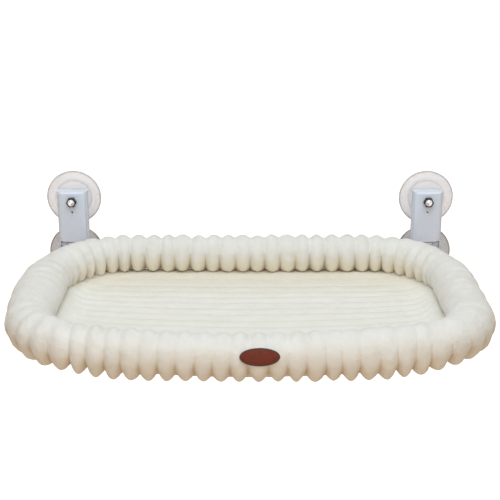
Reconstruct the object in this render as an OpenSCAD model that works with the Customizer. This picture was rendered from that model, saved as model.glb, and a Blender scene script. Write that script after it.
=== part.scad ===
// Window-mounted cat perch: a ribbed plush bed on a bent tube frame, which hangs from
// two moulded brackets, each held on the glass by two suction cups.
// The glass is the plane y = 0, the room lies towards -Y and Z points up.
// The origin is the middle of the four suction cups, on the glass.
// At rest the bed is level. It folds up against the glass about the two bracket pins.

/* [Bed] */
// Overall width of the bed
bed_w = 612; // [590:1:640]
// Overall depth of the bed, from its rear to the middle of its bowed front
bed_depth = 415; // [390:1:440]
// Gap between the glass and the rear of the bed
bed_gap = 33; // [32:1:38]
// Height of the middle of the cups above the centre plane of the roll
bed_drop = 31; // [30:0.5:33]
// Diameter of the padded roll round the bed
roll_d = 60; // [57:1:62]
// Radius of the front corners, at the middle of the roll
front_corner_r = 100; // [90:1:115]
// Radius of the rear corners, at the middle of the roll
rear_corner_r = 110; // [100:1:116]
// How far the front bows forward between its corners
front_bow = 21.5; // [15:0.5:28]
// Pitch of the sewn ribs of the roll and the mat
rib_pitch = 21.5; // [20:0.5:26]
// Depth of the valleys between the ribs on top of the roll
rib_depth_top = 3; // [2:0.5:5]
// Depth of the valleys between the ribs under the roll
rib_depth_under = 7; // [4:0.5:8]
// Thickness of the mat at its ribs
mat_t = 14; // [10:0.5:14.5]
// Depth of the sewn channels of the mat
mat_channel = 3; // [1:0.5:4]
// Width of the oval leather label
label_w = 46; // [40:1:60]
// Height of the oval leather label
label_h = 20.5; // [18:0.5:26]
// Thickness of the leather label
label_t = 1.8; // [1.2:0.1:2.5]
// Distance of the label from the middle of the front
label_x = 11; // [0:0.5:20]

/* [Frame] */
// Outside diameter of the frame tubes
tube_d = 16; // [14:0.5:17]
// Wall of the frame tubes
tube_wall = 1.2; // [1:0.1:1.5]
// Depth of the frame below the centre plane of the roll
tube_drop = 27; // [26:0.5:28]
// Distance of the side tubes inside the middle of the roll
frame_inset = 16; // [15:0.5:18]
// How much further inside the roll the front tube lies
front_tube_back = 11; // [8:0.5:12]
// Diameter of the rear crossbar
crossbar_d = 12; // [10:0.5:13]
// Thickness of the base fabric with its sleeves
panel_t = 1.4; // [1:0.1:1.6]

/* [Suction cups] */
// Diameter of a suction cup
cup_d = 80; // [76:1:84]
// Space between the two cups of a bracket
cup_gap = 4; // [3:0.5:6]
// Height of a cup from the glass to the seat of the bracket
cup_h = 9; // [8.5:0.5:11]
// Diameter of the boss that holds the stud
cup_boss_d = 25.5; // [24:0.5:30]
// Diameter of the raised ring of the cup
cup_step_d = 52; // [46:1:58]
// Width of the flat sealing rim
cup_rim_w = 6; // [4:0.5:8]

/* [Brackets] */
// Width of a bracket
bracket_w = 44; // [42:0.5:48]
// Depth of a bracket from the cups to its front
bracket_depth = 17; // [16.5:0.5:19]
// Height of the front cover
cover_h = 74; // [72:0.5:76]
// Radius of the upright front edges of the cover
cover_edge_r = 8; // [5:0.5:8]
// Wall of the back shell
shell_wall = 3; // [2.5:0.1:3.2]
// Wall of the front cover
cover_wall = 2; // [1.6:0.1:2.3]
// Diameter of the hinge pin
pin_d = 6; // [5:0.5:6.5]

/* [Fasteners] */
// Diameter of the studs in the cups
stud_d = 8; // [7:0.5:8.5]
// Width of the nuts across their flats
nut_af = 13; // [12.5:0.5:14]
// Thickness of the nuts
nut_h = 6.5; // [5.5:0.1:6.8]
// Diameter of the cover screws and of the dark screw hole below the nut
cover_screw_d = 3; // [2.5:0.1:3.5]
// Diameter of the frame screws
frame_screw_d = 4; // [3:0.5:4.5]

/* [Zip] */
// Length of the zip under the bed
zip_l = 340; // [300:5:380]
// Width of the zip's tapes
zip_w = 28; // [24:1:32]

/* [Hidden] */
$fn = 48;

// Clearances, small walls and overruns
touch_gap = 0.05;
slip = 0.1;
soft_gap = 0.4;
cut = 1;
cut_turn = 1;
degrees = 180 / PI;

// Places of the bed and its roll
roll_r = roll_d / 2;
roll_z = -bed_drop;
side_x = bed_w / 2 - roll_r;
rear_y = -(bed_gap + roll_r);
front_y = -(bed_gap + bed_depth - roll_r);
rear_cx = side_x - rear_corner_r;
rear_cy = rear_y - rear_corner_r;
corner_cx = side_x - front_corner_r;
bow_r = (corner_cx * corner_cx + front_bow * front_bow) / (2 * front_bow);
bow_cy = front_y + bow_r;
corner_cy = bow_cy - sqrt(pow(bow_r - front_corner_r, 2) - pow(corner_cx, 2));
bow_angle = atan(corner_cx / (bow_cy - corner_cy));

// Stretches of half the roll, from the middle of the rear to the middle of the front
rear_run = rear_cx;
rear_arc = rear_corner_r * 90 / degrees;
side_run = rear_cy - corner_cy;
corner_arc = front_corner_r * (90 - bow_angle) / degrees;
bow_arc = bow_r * bow_angle / degrees;
s_rear = rear_run + rear_arc;
s_side = s_rear + side_run;
s_corner = s_side + corner_arc;
half_length = s_corner + bow_arc;
half_ribs = round(half_length / rib_pitch);
rib_step = half_length / half_ribs;
split_angle = 14;
rear_half_ribs = round((s_rear - rear_corner_r * split_angle / degrees) / rib_step);
roll_sides = 12;
split_gap = 0.5;

// Frame
tube_r = tube_d / 2;
tube_z = roll_z - tube_drop;
tube_x = side_x - frame_inset;
sleeve_clear = 0.3;
sleeve_r = tube_r + sleeve_clear + panel_t;
panel_top_z = tube_z - tube_r - sleeve_clear;
spigot_l = 26;
spigot_r = tube_r - tube_wall - slip;
crossbar_r = crossbar_d / 2;
crossbar_z = tube_z - tube_r + crossbar_r;
crossbar_sleeve_r = crossbar_r + sleeve_clear + panel_t;
bow_path_r = bow_r - frame_inset - front_tube_back;
elbow_path_r = front_corner_r - frame_inset;
elbow_cy = bow_cy - sqrt(pow(bow_path_r - elbow_path_r, 2) - pow(corner_cx, 2));
elbow_angle = atan(corner_cx / (bow_cy - elbow_cy));
rear_floor = -(tube_drop - tube_r - soft_gap);

// Brackets
cup_r = cup_d / 2;
cup_z = (cup_d + cup_gap) / 2;
shell_back_y = -cup_h;
front_face_y = -(cup_h + bracket_depth);
cover_inner_y = front_face_y + cover_wall;
wall_front_y = shell_back_y - shell_wall;
cover_over_nut = 14;
cover_top_z = cup_z + cover_over_nut;
cover_bottom_z = cover_top_z - cover_h;
cover_sag = 1.5;
cheek_front_y = cover_inner_y;
pin_r = pin_d / 2;
pin_wall = 2.5;
boss_r = pin_r + pin_wall;
swing_gap = 0.4;
pivot_y = wall_front_y - swing_gap - boss_r;
pivot_z = cover_bottom_z - boss_r - swing_gap;
socket_wall = 2.9;
bore_r = tube_r + slip;
socket_r = bore_r + socket_wall;
foot_room = 14;
shell_bottom_z = tube_z - socket_r - foot_room;
washer_t = 1.6;
washer_r = 8;
nut_r = nut_af / sqrt(3);
stud_r = stud_d / 2;
stud_over_nut = 2.2;
lower_seat_y = wall_front_y - washer_t;
lower_stud_end_y = lower_seat_y - nut_h - stud_over_nut;
upper_stud_end_y = front_face_y - nut_h - stud_over_nut;
fork_side_gap = 2;
fork_half = washer_r + fork_side_gap;
arm_side_gap = 1;
arm_half = bracket_w / 2 - shell_wall - arm_side_gap;
leg_back_y = wall_front_y - slip;
leg_set_back = 1.2;
leg_front_y = pivot_y - boss_r + leg_set_back;
web_gap = 2;
web_top_z = -cup_z - nut_r - web_gap;
web_bottom_z = tube_z - socket_r;
socket_back_y = lower_stud_end_y - swing_gap;
socket_l = 36;
socket_mouth_y = socket_back_y - socket_l;
socket_floor = 4.5;
tube_end_y = socket_back_y - socket_floor - slip;
heel_relief = 1;
heel_h = 7;

// Places along the sides of the bed
crossbar_gap = 8;
crossbar_y = socket_mouth_y - crossbar_gap - crossbar_r;
panel_inset = tube_r + cut;
mat_inset = sleeve_r + soft_gap;
mat_rear_y = crossbar_y - crossbar_sleeve_r - cut;
mat_z = panel_top_z + sleeve_clear;
side_sleeve_near = 8;
side_sleeve_l = side_run / 2 - side_sleeve_near;
front_sleeve_share = 0.72;
rear_sleeve_share = 0.84;

// Small screws
screw_head_share = 1.9;
screw_head_h_share = 0.55;

// Zip
zip_from_crossbar = 50;
zip_y = crossbar_y - zip_from_crossbar;
zip_tape_t = 0.7;
zip_teeth_w = 5;
zip_teeth_h = 1.5;
zip_tooth_pitch = 5;
zip_z = panel_top_z - panel_t;
zip_end_room = 12;
slider_l = 11;
slider_w = 9;
slider_wall = 1.3;
slider_gap = 0.3;
slider_top_z = zip_z - zip_tape_t - slider_gap;
slider_bottom_z = slider_top_z - zip_teeth_h - slider_wall;
bridge_r = 0.9;
bridge_drop = 2.6;
bridge_z = slider_bottom_z - bridge_drop;
pull_eye_r = 2.3;
pull_l = 24;
pull_w = 7;
pull_t = 1.3;

// The middle of half the roll at the distance s from the middle of its rear,
// with the direction that faces out of the bed there
function half_point(s) =
    s < rear_run ? [s, rear_y, 90]
    : s < s_rear ? arc_point(rear_cx, rear_cy, rear_corner_r, 90, s - rear_run)
    : s < s_side ? [side_x, rear_cy - (s - s_rear), 0]
    : s < s_corner ? arc_point(corner_cx, corner_cy, front_corner_r, 0, s - s_side)
    : arc_point(0, bow_cy, bow_r, bow_angle - 90, s - s_corner);

// The point that lies run further round an arc than the angle from, turning right
function arc_point(cx, cy, r, from, run) =
    let (a = from - run / r * degrees) [cx + r * cos(a), cy + r * sin(a), a];

function mirrored(p) = [-p[0], p[1], 180 - p[2]];

function ring_point(s) =
    s < 0 ? mirrored(half_point(-s))
    : s > half_length ? mirrored(half_point(2 * half_length - s))
    : half_point(s);

// How far inside the middle of the roll the frame lies, at the distance s along half of it
function half_inset(s) =
    s < s_side ? frame_inset
    : s < s_corner ? frame_inset - (elbow_cy - corner_cy) * sin(half_point(s)[2])
    : frame_inset + front_tube_back;

// One corner of a section through the roll: the section is round, drawn in at the
// valleys, and flat where it lies on the frame's sleeve and on what is under it
function roll_vertex(s, k, crest, low) =
    let (p = ring_point(s))
    let (inset = half_inset(s > half_length ? 2 * half_length - s : abs(s)))
    let (reach = norm([inset, tube_drop]))
    let (a = (k + 0.5) * 360 / roll_sides)
    let (mid = (rib_depth_under + rib_depth_top) / 2)
    let (sway = (rib_depth_under - rib_depth_top) / 2)
    let (r = roll_r - (crest ? 0 : mid - sway * sin(a)))
    let (toward = -r * (cos(a) * inset + sin(a) * tube_drop) / reach)
    let (over = max(0, toward - (reach - sleeve_r - soft_gap)))
    let (u = r * cos(a) + over * inset / reach)
    let (w = max(low, r * sin(a) + over * tube_drop / reach))
    [p[0] + u * cos(p[2]), p[1] + u * sin(p[2]), roll_z + w];

// Triangles of a closed loft through rings of n points
function loft_faces(rings, n) = concat(
    [for (i = [0:rings - 2], k = [0:n - 1]) [i * n + k, i * n + (k + 1) % n, (i + 1) * n + k]],
    [for (i = [0:rings - 2], k = [0:n - 1])
        [i * n + (k + 1) % n, (i + 1) * n + (k + 1) % n, (i + 1) * n + k]],
    [for (k = [1:n - 2]) [0, k + 1, k]],
    [for (k = [1:n - 2]) [(rings - 1) * n, (rings - 1) * n + k, (rings - 1) * n + k + 1]]
);

// A stretch of the ribbed roll, with a valley at each end
module ribbed_roll(s_start, s_end, ribs, low) {
    rings = 2 * ribs + 1;
    step = (s_end - s_start) / (rings - 1);
    points = [
        for (i = [0:rings - 1], k = [0:roll_sides - 1])
            roll_vertex(s_start + i * step, k, i % 2 == 1, low)
    ];
    polyhedron(points, loft_faces(rings, roll_sides));
}

// The bowed outline of the bed's front, inset from the middle of the frame's tubes
function front_outline(inset) = let (n = 12) concat(
    [for (i = [0:n]) arc_xy(corner_cx, elbow_cy, elbow_path_r - inset, -i / n * (90 - elbow_angle))],
    [for (i = [1:2 * n - 1]) arc_xy(0, bow_cy, bow_path_r - inset, elbow_angle - 90 - i / n * elbow_angle)],
    [for (i = [0:n]) arc_xy(-corner_cx, elbow_cy, elbow_path_r - inset,
                            -90 - elbow_angle - i / n * (90 - elbow_angle))]
);

function arc_xy(cx, cy, r, a) = [cx + r * cos(a), cy + r * sin(a)];

// The front of that outline at the distance x from its middle
function front_edge_y(x, inset) =
    abs(x) < (bow_path_r - inset) * sin(elbow_angle)
        ? bow_cy - sqrt(pow(bow_path_r - inset, 2) - x * x)
        : elbow_cy - sqrt(max(0, pow(elbow_path_r - inset, 2) - pow(abs(x) - corner_cx, 2)));

// A round bar along Y, from y0 down to y1
module y_bar(r, y0, y1, x = 0, z = 0) {
    translate([x, y0, z]) rotate([90, 0, 0]) cylinder(r = r, h = y0 - y1);
}

// A round bar along X, from x0 up to x1
module x_bar(r, x0, x1, y = 0, z = 0) {
    translate([x0, y, z]) rotate([0, 90, 0]) cylinder(r = r, h = x1 - x0);
}

// A box between two corners
module block(low, high) {
    translate(low) cube(high - low);
}

// Place on the left bracket or, mirrored, on the right one
module on_side(side) {
    mirror([side == "left" ? 1 : 0, 0, 0]) translate([tube_x, 0, 0]) children();
}

// A rectangle from y0 down to y1 whose two front corners are round, seen from above
module plan_outline(half, y0, y1, r) {
    translate([-half, y1 + r]) square([2 * half, y0 - y1 - r]);
    translate([r - half, y1]) square([2 * (half - r), r + slip]);
    for (s = [-1, 1]) translate([s * (half - r), y1 + r]) circle(r = r);
}

// The cover's outer form: round upright edges, a soft top edge and a curved lower edge
module cover_form(half, y_front, top_z, edge_r, sag) {
    sag_r = sag > 0 ? (half * half + sag * sag) / (2 * sag) : half;
    intersection() {
        translate([0, 0, cover_bottom_z - sag])
            linear_extrude(height = top_z - cover_bottom_z + sag)
                plan_outline(half, shell_back_y, y_front, edge_r);
        translate([-half, 0, 0]) rotate([90, 0, 90])
            linear_extrude(height = 2 * half) side_outline(y_front, top_z, edge_r / 3);
        translate([0, shell_back_y, 0]) rotate([90, 0, 0])
            linear_extrude(height = shell_back_y - y_front) {
                translate([-half, cover_bottom_z]) square([2 * half, top_z - cover_bottom_z]);
                intersection() {
                    translate([0, cover_bottom_z - sag + sag_r]) circle(r = sag_r, $fn = 180);
                    translate([-half, cover_bottom_z - sag]) square([2 * half, sag + slip]);
                }
            }
    }
}

// The cover seen from the side, with its top front edge rounded
module side_outline(y_front, top_z, r) {
    bottom = cover_bottom_z - cover_sag - cut;
    translate([y_front, bottom]) square([shell_back_y - y_front, top_z - r - bottom]);
    translate([y_front + r, top_z - r - slip]) square([shell_back_y - y_front - r, r + slip]);
    translate([y_front + r, top_z - r]) circle(r = r);
}

cover_screw_r = cover_screw_d / 2;
cover_screw_head_r = cover_screw_r * screw_head_share;
cover_screw_head_h = 1.8;
cover_screw_l = 10;
upper_screw_z = cup_z - 2 * washer_r;
lower_screw_rise = 10;
lower_screw_z = cover_bottom_z + lower_screw_rise;
screw_boss_wall = 2.5;
cover_boss_r = cover_screw_r + screw_boss_wall;
stud_boss_wall = 3.5;
stud_boss_r = stud_r + stud_boss_wall;
shell_under_cover = bracket_w / 2 - cover_wall - 2 * slip;
pin_head_rim = 2;
hinge_recess_r = pin_r + pin_head_rim;
hinge_recess = shell_wall / 2;
groove_share = 0.8;
groove_r = pin_r * groove_share;
clip_mouth_share = 0.7;
clip_mouth = pin_r * clip_mouth_share;

// Moulded back of a bracket: a tray behind the cover above, and an open channel
// below, whose cheeks carry the hinge pin
module back_shell(side) {
    on_side(side) color("#bcc0c9") {
        difference() {
            union() {
                block([-shell_under_cover, cover_inner_y + slip, cover_bottom_z],
                      [shell_under_cover, shell_back_y, cover_top_z - cover_wall - 2 * slip]);
                translate([0, 0, shell_bottom_z])
                    linear_extrude(height = cover_bottom_z - 3 * slip - shell_bottom_z)
                        plan_outline(bracket_w / 2, shell_back_y, cheek_front_y, shell_wall);
                block([-shell_under_cover, wall_front_y, cover_bottom_z - shell_wall],
                      [shell_under_cover, shell_back_y, cover_bottom_z + shell_wall]);
            }
            block([-shell_under_cover + cover_wall, cover_inner_y - cut, cover_bottom_z + shell_wall],
                  [shell_under_cover - cover_wall, wall_front_y, cover_top_z - 2 * cover_wall]);
            block([-bracket_w / 2 + shell_wall, cover_inner_y - cut, shell_bottom_z + shell_wall],
                  [bracket_w / 2 - shell_wall, wall_front_y, cover_bottom_z - slip]);
            for (z = [-cup_z, cup_z]) y_bar(stud_r + slip, shell_back_y + cut, cover_inner_y - cut, 0, z);
            for (z = [upper_screw_z, lower_screw_z]) {
                y_bar(cover_screw_r + slip, shell_back_y + cut, wall_front_y - cut, 0, z);
                y_bar(cover_screw_head_r + slip, shell_back_y + cut,
                      shell_back_y - cover_screw_head_h, 0, z);
            }
            x_bar(pin_r + touch_gap, -bracket_w, bracket_w, pivot_y, pivot_z);
            for (s = [-1, 1])
                x_bar(hinge_recess_r + slip, s * bracket_w / 2 - hinge_recess,
                      s * bracket_w / 2 + hinge_recess, pivot_y, pivot_z);
        }
        difference() {
            y_bar(stud_boss_r, wall_front_y + slip, cover_inner_y + slip, 0, cup_z);
            y_bar(stud_r + slip, shell_back_y, cover_inner_y - cut, 0, cup_z);
        }
    }
}

// Moulded front cover: it slips over the tray and the upper nut clamps it on
module front_cover(side) {
    inner_half = bracket_w / 2 - cover_wall;
    on_side(side) color("#c6cad2") difference() {
        union() {
            difference() {
                cover_form(bracket_w / 2, front_face_y, cover_top_z, cover_edge_r, cover_sag);
                translate([0, 0, cover_bottom_z - cover_sag - cut])
                    linear_extrude(height = cover_h + cover_sag + cut - cover_wall)
                        plan_outline(inner_half, shell_back_y + cut, cover_inner_y, cut);
            }
            y_bar(cover_boss_r, wall_front_y - slip, cover_inner_y - slip, 0, upper_screw_z);
            y_bar(cover_boss_r, wall_front_y - slip, cover_inner_y - slip, 0, lower_screw_z);
        }
        y_bar(stud_r + slip, cover_inner_y + cut, front_face_y - cut, 0, cup_z);
        y_bar(cover_screw_r, wall_front_y + cut, front_face_y - cut, 0, upper_screw_z);
        y_bar(cover_screw_r, wall_front_y + cut, cover_inner_y + slip, 0, lower_screw_z);
    }
}

// Two pan-head screws that hold the cover from behind
module cover_screws(side) {
    on_side(side) color("#8a8d92") for (z = [upper_screw_z, lower_screw_z]) difference() {
        union() {
            y_bar(cover_screw_r - touch_gap, shell_back_y - slip, shell_back_y - cover_screw_l, 0, z);
            y_bar(cover_screw_head_r, shell_back_y - slip, shell_back_y - cover_screw_head_h + slip, 0, z);
        }
        for (turn = [0, 90]) translate([0, shell_back_y, z]) rotate([0, turn, 0])
            cube([cover_screw_d, cover_screw_head_h, cover_screw_r / 2], center = true);
    }
}

// Hinge pin with a flat head on the outer cheek and a groove for its clip
module pivot_pin(side) {
    half = bracket_w / 2;
    on_side(side) color("#a9abb0") difference() {
        union() {
            x_bar(pin_r, -half + slip, half - slip, pivot_y, pivot_z);
            x_bar(hinge_recess_r, half - hinge_recess + slip, half - slip, pivot_y, pivot_z);
        }
        difference() {
            x_bar(pin_r + cut, -half + hinge_recess / 3, -half + hinge_recess - slip, pivot_y, pivot_z);
            x_bar(groove_r, -half, half, pivot_y, pivot_z);
        }
    }
}

// Spring clip in the groove of the pin
module pin_clip(side) {
    half = bracket_w / 2;
    x0 = -half + hinge_recess / 3 + touch_gap;
    x1 = -half + hinge_recess - slip - touch_gap;
    on_side(side) color("#6f7277") difference() {
        x_bar(hinge_recess_r - slip, x0, x1, pivot_y, pivot_z);
        x_bar(groove_r + touch_gap, x0 - cut, x1 + cut, pivot_y, pivot_z);
        block([x0 - cut, pivot_y - clip_mouth, pivot_z - hinge_recess_r - cut],
              [x1 + cut, pivot_y + clip_mouth, pivot_z]);
    }
}

// Folding arm: a fork on the pin that straddles the lower nut, with a heel that
// bears on the shell and a socket for the frame
module arm(side) {
    on_side(side) color("#b4b8c1") difference() {
        union() {
            for (s = [-1, 1])
                translate([s * (fork_half + arm_half) / 2, 0, 0]) fork_leg(arm_half - fork_half);
            block([-arm_half, leg_front_y, web_bottom_z],
                  [arm_half, leg_back_y - heel_relief, web_top_z]);
            block([-arm_half, leg_back_y - 2 * heel_relief, web_bottom_z],
                  [arm_half, leg_back_y, web_bottom_z + heel_h]);
            y_bar(socket_r, socket_back_y, socket_mouth_y, 0, tube_z);
            block([-socket_r, socket_back_y - socket_floor, web_bottom_z],
                  [socket_r, leg_back_y - heel_relief, tube_z]);
        }
        y_bar(bore_r, tube_end_y + slip, socket_mouth_y - cut, 0, tube_z);
        x_bar(pin_r + touch_gap, -bracket_w, bracket_w, pivot_y, pivot_z);
        arm_screw_hole();
    }
}

arm_screw_y = (tube_end_y + socket_mouth_y) / 2;
frame_screw_r = frame_screw_d / 2;
frame_screw_head_r = frame_screw_r * screw_head_share;
frame_screw_head_h = frame_screw_d * screw_head_h_share;
screw_tip = 2;
frame_screw_l = socket_wall + 2 * tube_wall + screw_tip;

module fork_leg(width) {
    translate([-width / 2, 0, 0]) rotate([90, 0, 90]) linear_extrude(height = width) {
        translate([pivot_y, pivot_z]) circle(r = boss_r);
        translate([leg_front_y, web_bottom_z])
            square([leg_back_y - heel_relief - leg_front_y, pivot_z - web_bottom_z]);
    }
}

module arm_screw_hole() {
    translate([0, arm_screw_y, tube_z - socket_r - cut])
        cylinder(r = frame_screw_r + touch_gap, h = socket_r - tube_r + tube_wall + 2 * cut);
}

// Upright pan-head screw under the tube at the height z
module pan_screw(x, y, z, length) {
    translate([x, y, z]) cylinder(r = frame_screw_r, h = length);
    difference() {
        translate([x, y, z - frame_screw_head_h]) cylinder(r = frame_screw_head_r, h = frame_screw_head_h);
        for (turn = [0, 90]) translate([x, y, z - frame_screw_head_h]) rotate(turn)
            cube([frame_screw_d, frame_screw_r / 2, frame_screw_head_h], center = true);
    }
}

// Screw that holds the frame tube in the arm
module arm_screw(side) {
    on_side(side) color("#8a8d92") pan_screw(0, arm_screw_y, tube_z - socket_r, frame_screw_l);
}

// Suction cup: a flat rim on the glass, a hollow behind it, a raised ring and a boss
// that is moulded round the head of the stud
cup_rim_t = 1.6;
cup_hollow = 3.4;
cup_hollow_shares = [[0, 1], [0.55, 0.8], [0.85, 0.3], [1, 0]];
cup_rim_edge_share = 0.6;
cup_ring_rise = cup_h * 0.72;
cup_skirt_rise = cup_h * 0.42;
cup_boss_rise = cup_h * 0.85;
ring_w = 5;
ring_slope = 0.5;
boss_foot = 1;
boss_foot_drop = 0.3;
boss_bevel = 0.8;
stud_head_r = 9.5;
stud_head_t = 2.4;
stud_head_cover = 2;
stud_head_y = stud_head_cover - cup_h;
cup_boss_r = cup_boss_d / 2;
step_r = cup_step_d / 2;
module cup(side, z) {
    rim = cup_r - cup_rim_w;
    on_side(side) color([0.85, 0.85, 0.84, 0.75]) translate([0, 0, z]) difference() {
        rotate([90, 0, 0]) rotate_extrude() polygon([
            for (p = cup_hollow_shares) [rim * p[0], cup_hollow * p[1]],
            [cup_r, 0],
            [cup_r, cup_rim_t * cup_rim_edge_share],
            [cup_r - cup_rim_t, cup_rim_t],
            [step_r + ring_w, cup_skirt_rise],
            [step_r, cup_skirt_rise],
            [step_r - ring_slope, cup_ring_rise],
            [step_r - ring_w, cup_ring_rise],
            [cup_boss_r + boss_foot, cup_ring_rise - boss_foot_drop],
            [cup_boss_r, cup_boss_rise],
            [cup_boss_r - boss_bevel, cup_h],
            [0, cup_h]
        ]);
        y_bar(stud_head_r, stud_head_y + stud_head_t, stud_head_y);
        y_bar(stud_r, stud_head_y + slip, -cup_h - cut);
    }
}

// Stud with a disc head inside the cup and a domed end
module stud(side, z, end_y) {
    dome = stud_r / 3;
    dome_r = (stud_r * stud_r + dome * dome) / (2 * dome);
    on_side(side) color("#c9ccd0") translate([0, 0, z]) {
        y_bar(stud_head_r, stud_head_y + stud_head_t, stud_head_y);
        y_bar(stud_r, stud_head_y + slip, end_y + dome);
        intersection() {
            y_bar(stud_r - slip, end_y + dome + slip, end_y - cut);
            translate([0, end_y + dome_r, 0]) sphere(r = dome_r);
        }
    }
}

// Hexagon nut with its corners to the left and right and a bevel at its free end
nut_bevel = nut_h / 8;
nut_bevel_r = nut_r * 0.88;
module nut(side, z, y) {
    on_side(side) color("#c9ccd0") difference() {
        intersection() {
            translate([0, y, z]) rotate([90, 0, 0]) cylinder(r = nut_r, h = nut_h, $fn = 6);
            union() {
                y_bar(nut_r + slip, y, y - nut_h + nut_bevel, 0, z);
                translate([0, y - nut_h + nut_bevel, z]) rotate([90, 0, 0])
                    cylinder(r1 = nut_r + slip, r2 = nut_bevel_r, h = nut_bevel);
            }
        }
        y_bar(stud_r + touch_gap, y + cut, y - nut_h - cut, 0, z);
    }
}

// Flat washer on the shell under the lower nut
module washer(side) {
    on_side(side) color("#b9bcc1") difference() {
        y_bar(washer_r, wall_front_y, lower_seat_y, 0, -cup_z);
        y_bar(stud_r + 2 * slip, wall_front_y + cut, lower_seat_y - cut, 0, -cup_z);
    }
}

// An arc of round bar about a point, between two angles
module arc_bar(cx, cy, path_r, r, from, to, z) {
    translate([cx, cy, z]) rotate(from)
        rotate_extrude(angle = to - from, $fn = 180) translate([path_r, 0]) circle(r = r);
}

bow_play = slip / bow_path_r * degrees;
spigot_sweep = spigot_l / bow_path_r * degrees;
spigot_root = spigot_sweep / 12;
joint_screw_y = elbow_cy + spigot_l / 2;
joint_screw_turn = elbow_angle - spigot_sweep / 2;

// Bowed front tube, which the two elbows plug into
module frame_front_tube() {
    sweep = elbow_angle - bow_play;
    color("#e9e9e6") difference() {
        arc_bar(0, bow_cy, bow_path_r, tube_r, -90 - sweep, -90 + sweep, tube_z);
        arc_bar(0, bow_cy, bow_path_r, tube_r - tube_wall,
                -90 - elbow_angle - cut_turn, -90 + elbow_angle + cut_turn, tube_z);
        for (turn = [-joint_screw_turn, joint_screw_turn]) on_bow(turn) frame_screw_hole();
    }
}

// Place on the bowed front at an angle from its middle
module on_bow(turn) {
    translate([0, bow_cy, 0]) rotate(turn) translate([0, -bow_path_r, 0]) children();
}

// Upright hole through the lower wall of a frame tube
module frame_screw_hole() {
    translate([0, 0, tube_z - tube_r - cut]) cylinder(r = frame_screw_r + touch_gap, h = tube_r + cut);
}

// Corner of the frame: a bent rod with a spigot for the side tube and one for the front tube
module frame_elbow(side) {
    mirror([side == "left" ? 1 : 0, 0, 0]) color("#dcdcd8") difference() {
        union() {
            arc_bar(corner_cx, elbow_cy, elbow_path_r, tube_r, elbow_angle - 90, 0, tube_z);
            y_bar(spigot_r, elbow_cy + spigot_l, elbow_cy - tube_wall, tube_x, tube_z);
            arc_bar(0, bow_cy, bow_path_r, spigot_r,
                    elbow_angle - 90 - spigot_sweep, elbow_angle - 90 + spigot_root, tube_z);
        }
        translate([tube_x, joint_screw_y, 0]) frame_screw_hole();
        on_bow(joint_screw_turn) frame_screw_hole();
    }
}

// Straight side tube between the arm's socket and the elbow
module side_tube(side) {
    on_side(side) color("#e9e9e6") difference() {
        y_bar(tube_r, tube_end_y, elbow_cy + slip, 0, tube_z);
        y_bar(tube_r - tube_wall, tube_end_y + cut, elbow_cy - cut, 0, tube_z);
        translate([0, joint_screw_y, 0]) frame_screw_hole();
        translate([0, arm_screw_y, 0]) frame_screw_hole();
        x_bar(frame_screw_r + touch_gap, -tube_d, tube_d, crossbar_y, crossbar_z);
    }
}

// Screws at the four joints of the frame
module frame_joint_screws() {
    color("#8a8d92") {
        for (s = [-1, 1]) pan_screw(s * tube_x, joint_screw_y, tube_z - tube_r, tube_r);
        for (turn = [-joint_screw_turn, joint_screw_turn]) on_bow(turn)
            pan_screw(0, 0, tube_z - tube_r, tube_r);
    }
}

// Rear crossbar with coped ends between the side tubes
plug_l = 20;
module rear_crossbar() {
    reach = tube_x - tube_wall;
    color("#e9e9e6") difference() {
        x_bar(crossbar_r, -reach, reach, crossbar_y, crossbar_z);
        x_bar(crossbar_r - tube_wall, plug_l - reach, reach - plug_l, crossbar_y, crossbar_z);
        for (s = [-1, 1]) {
            y_bar(tube_r + slip, crossbar_y + tube_d, crossbar_y - tube_d, s * tube_x, tube_z);
            x_bar(frame_screw_r + touch_gap, s * reach - plug_l - cut, s * reach + plug_l + cut,
                  crossbar_y, crossbar_z);
        }
    }
}

// Screws through the side tubes into the ends of the crossbar
module crossbar_screws() {
    head_x = tube_x + tube_r;
    color("#8a8d92") for (s = [-1, 1]) mirror([s < 0 ? 1 : 0, 0, 0]) {
        x_bar(frame_screw_r, tube_x - tube_r - plug_l / 2, head_x, crossbar_y, crossbar_z);
        x_bar(frame_screw_head_r, head_x, head_x + frame_screw_head_h, crossbar_y, crossbar_z);
    }
}

// Base fabric: a flat panel inside the frame, with sewn sleeves round the tubes
module base_panel() {
    panel_rear_y = crossbar_y;
    side_sleeve_y = rear_cy - side_sleeve_near;
    edge_x = tube_x - panel_inset;
    sweep = 2 * elbow_angle * front_sleeve_share;
    rear_half = tube_x * rear_sleeve_share;
    color("#d9d3c6") difference() {
        union() {
            translate([0, 0, panel_top_z - panel_t]) linear_extrude(height = panel_t) {
                polygon(concat([[edge_x, mat_rear_y]], front_outline(panel_inset),
                               [[-edge_x, mat_rear_y]]));
                for (s = [-1, 1]) translate([s * (edge_x + tube_x) / 2, side_sleeve_y - side_sleeve_l / 2])
                    square([tube_x - edge_x + 2 * cut, side_sleeve_l], center = true);
                translate([-rear_half, mat_rear_y - cut])
                    square([2 * rear_half, panel_rear_y - mat_rear_y + cut]);
            }
            for (s = [-1, 1])
                y_bar(sleeve_r, side_sleeve_y, side_sleeve_y - side_sleeve_l, s * tube_x, tube_z);
            x_bar(crossbar_sleeve_r, -rear_half, rear_half, crossbar_y, crossbar_z);
            front_sleeve(sleeve_r, sweep);
            front_flap(sweep);
        }
        for (s = [-1, 1])
            y_bar(tube_r + sleeve_clear, side_sleeve_y + cut, side_sleeve_y - side_sleeve_l - cut,
                  s * tube_x, tube_z);
        x_bar(crossbar_r + sleeve_clear, -rear_half - cut, rear_half + cut, crossbar_y, crossbar_z);
        front_sleeve(tube_r + sleeve_clear, sweep + 2 * cut_turn);
    }
}

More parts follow.
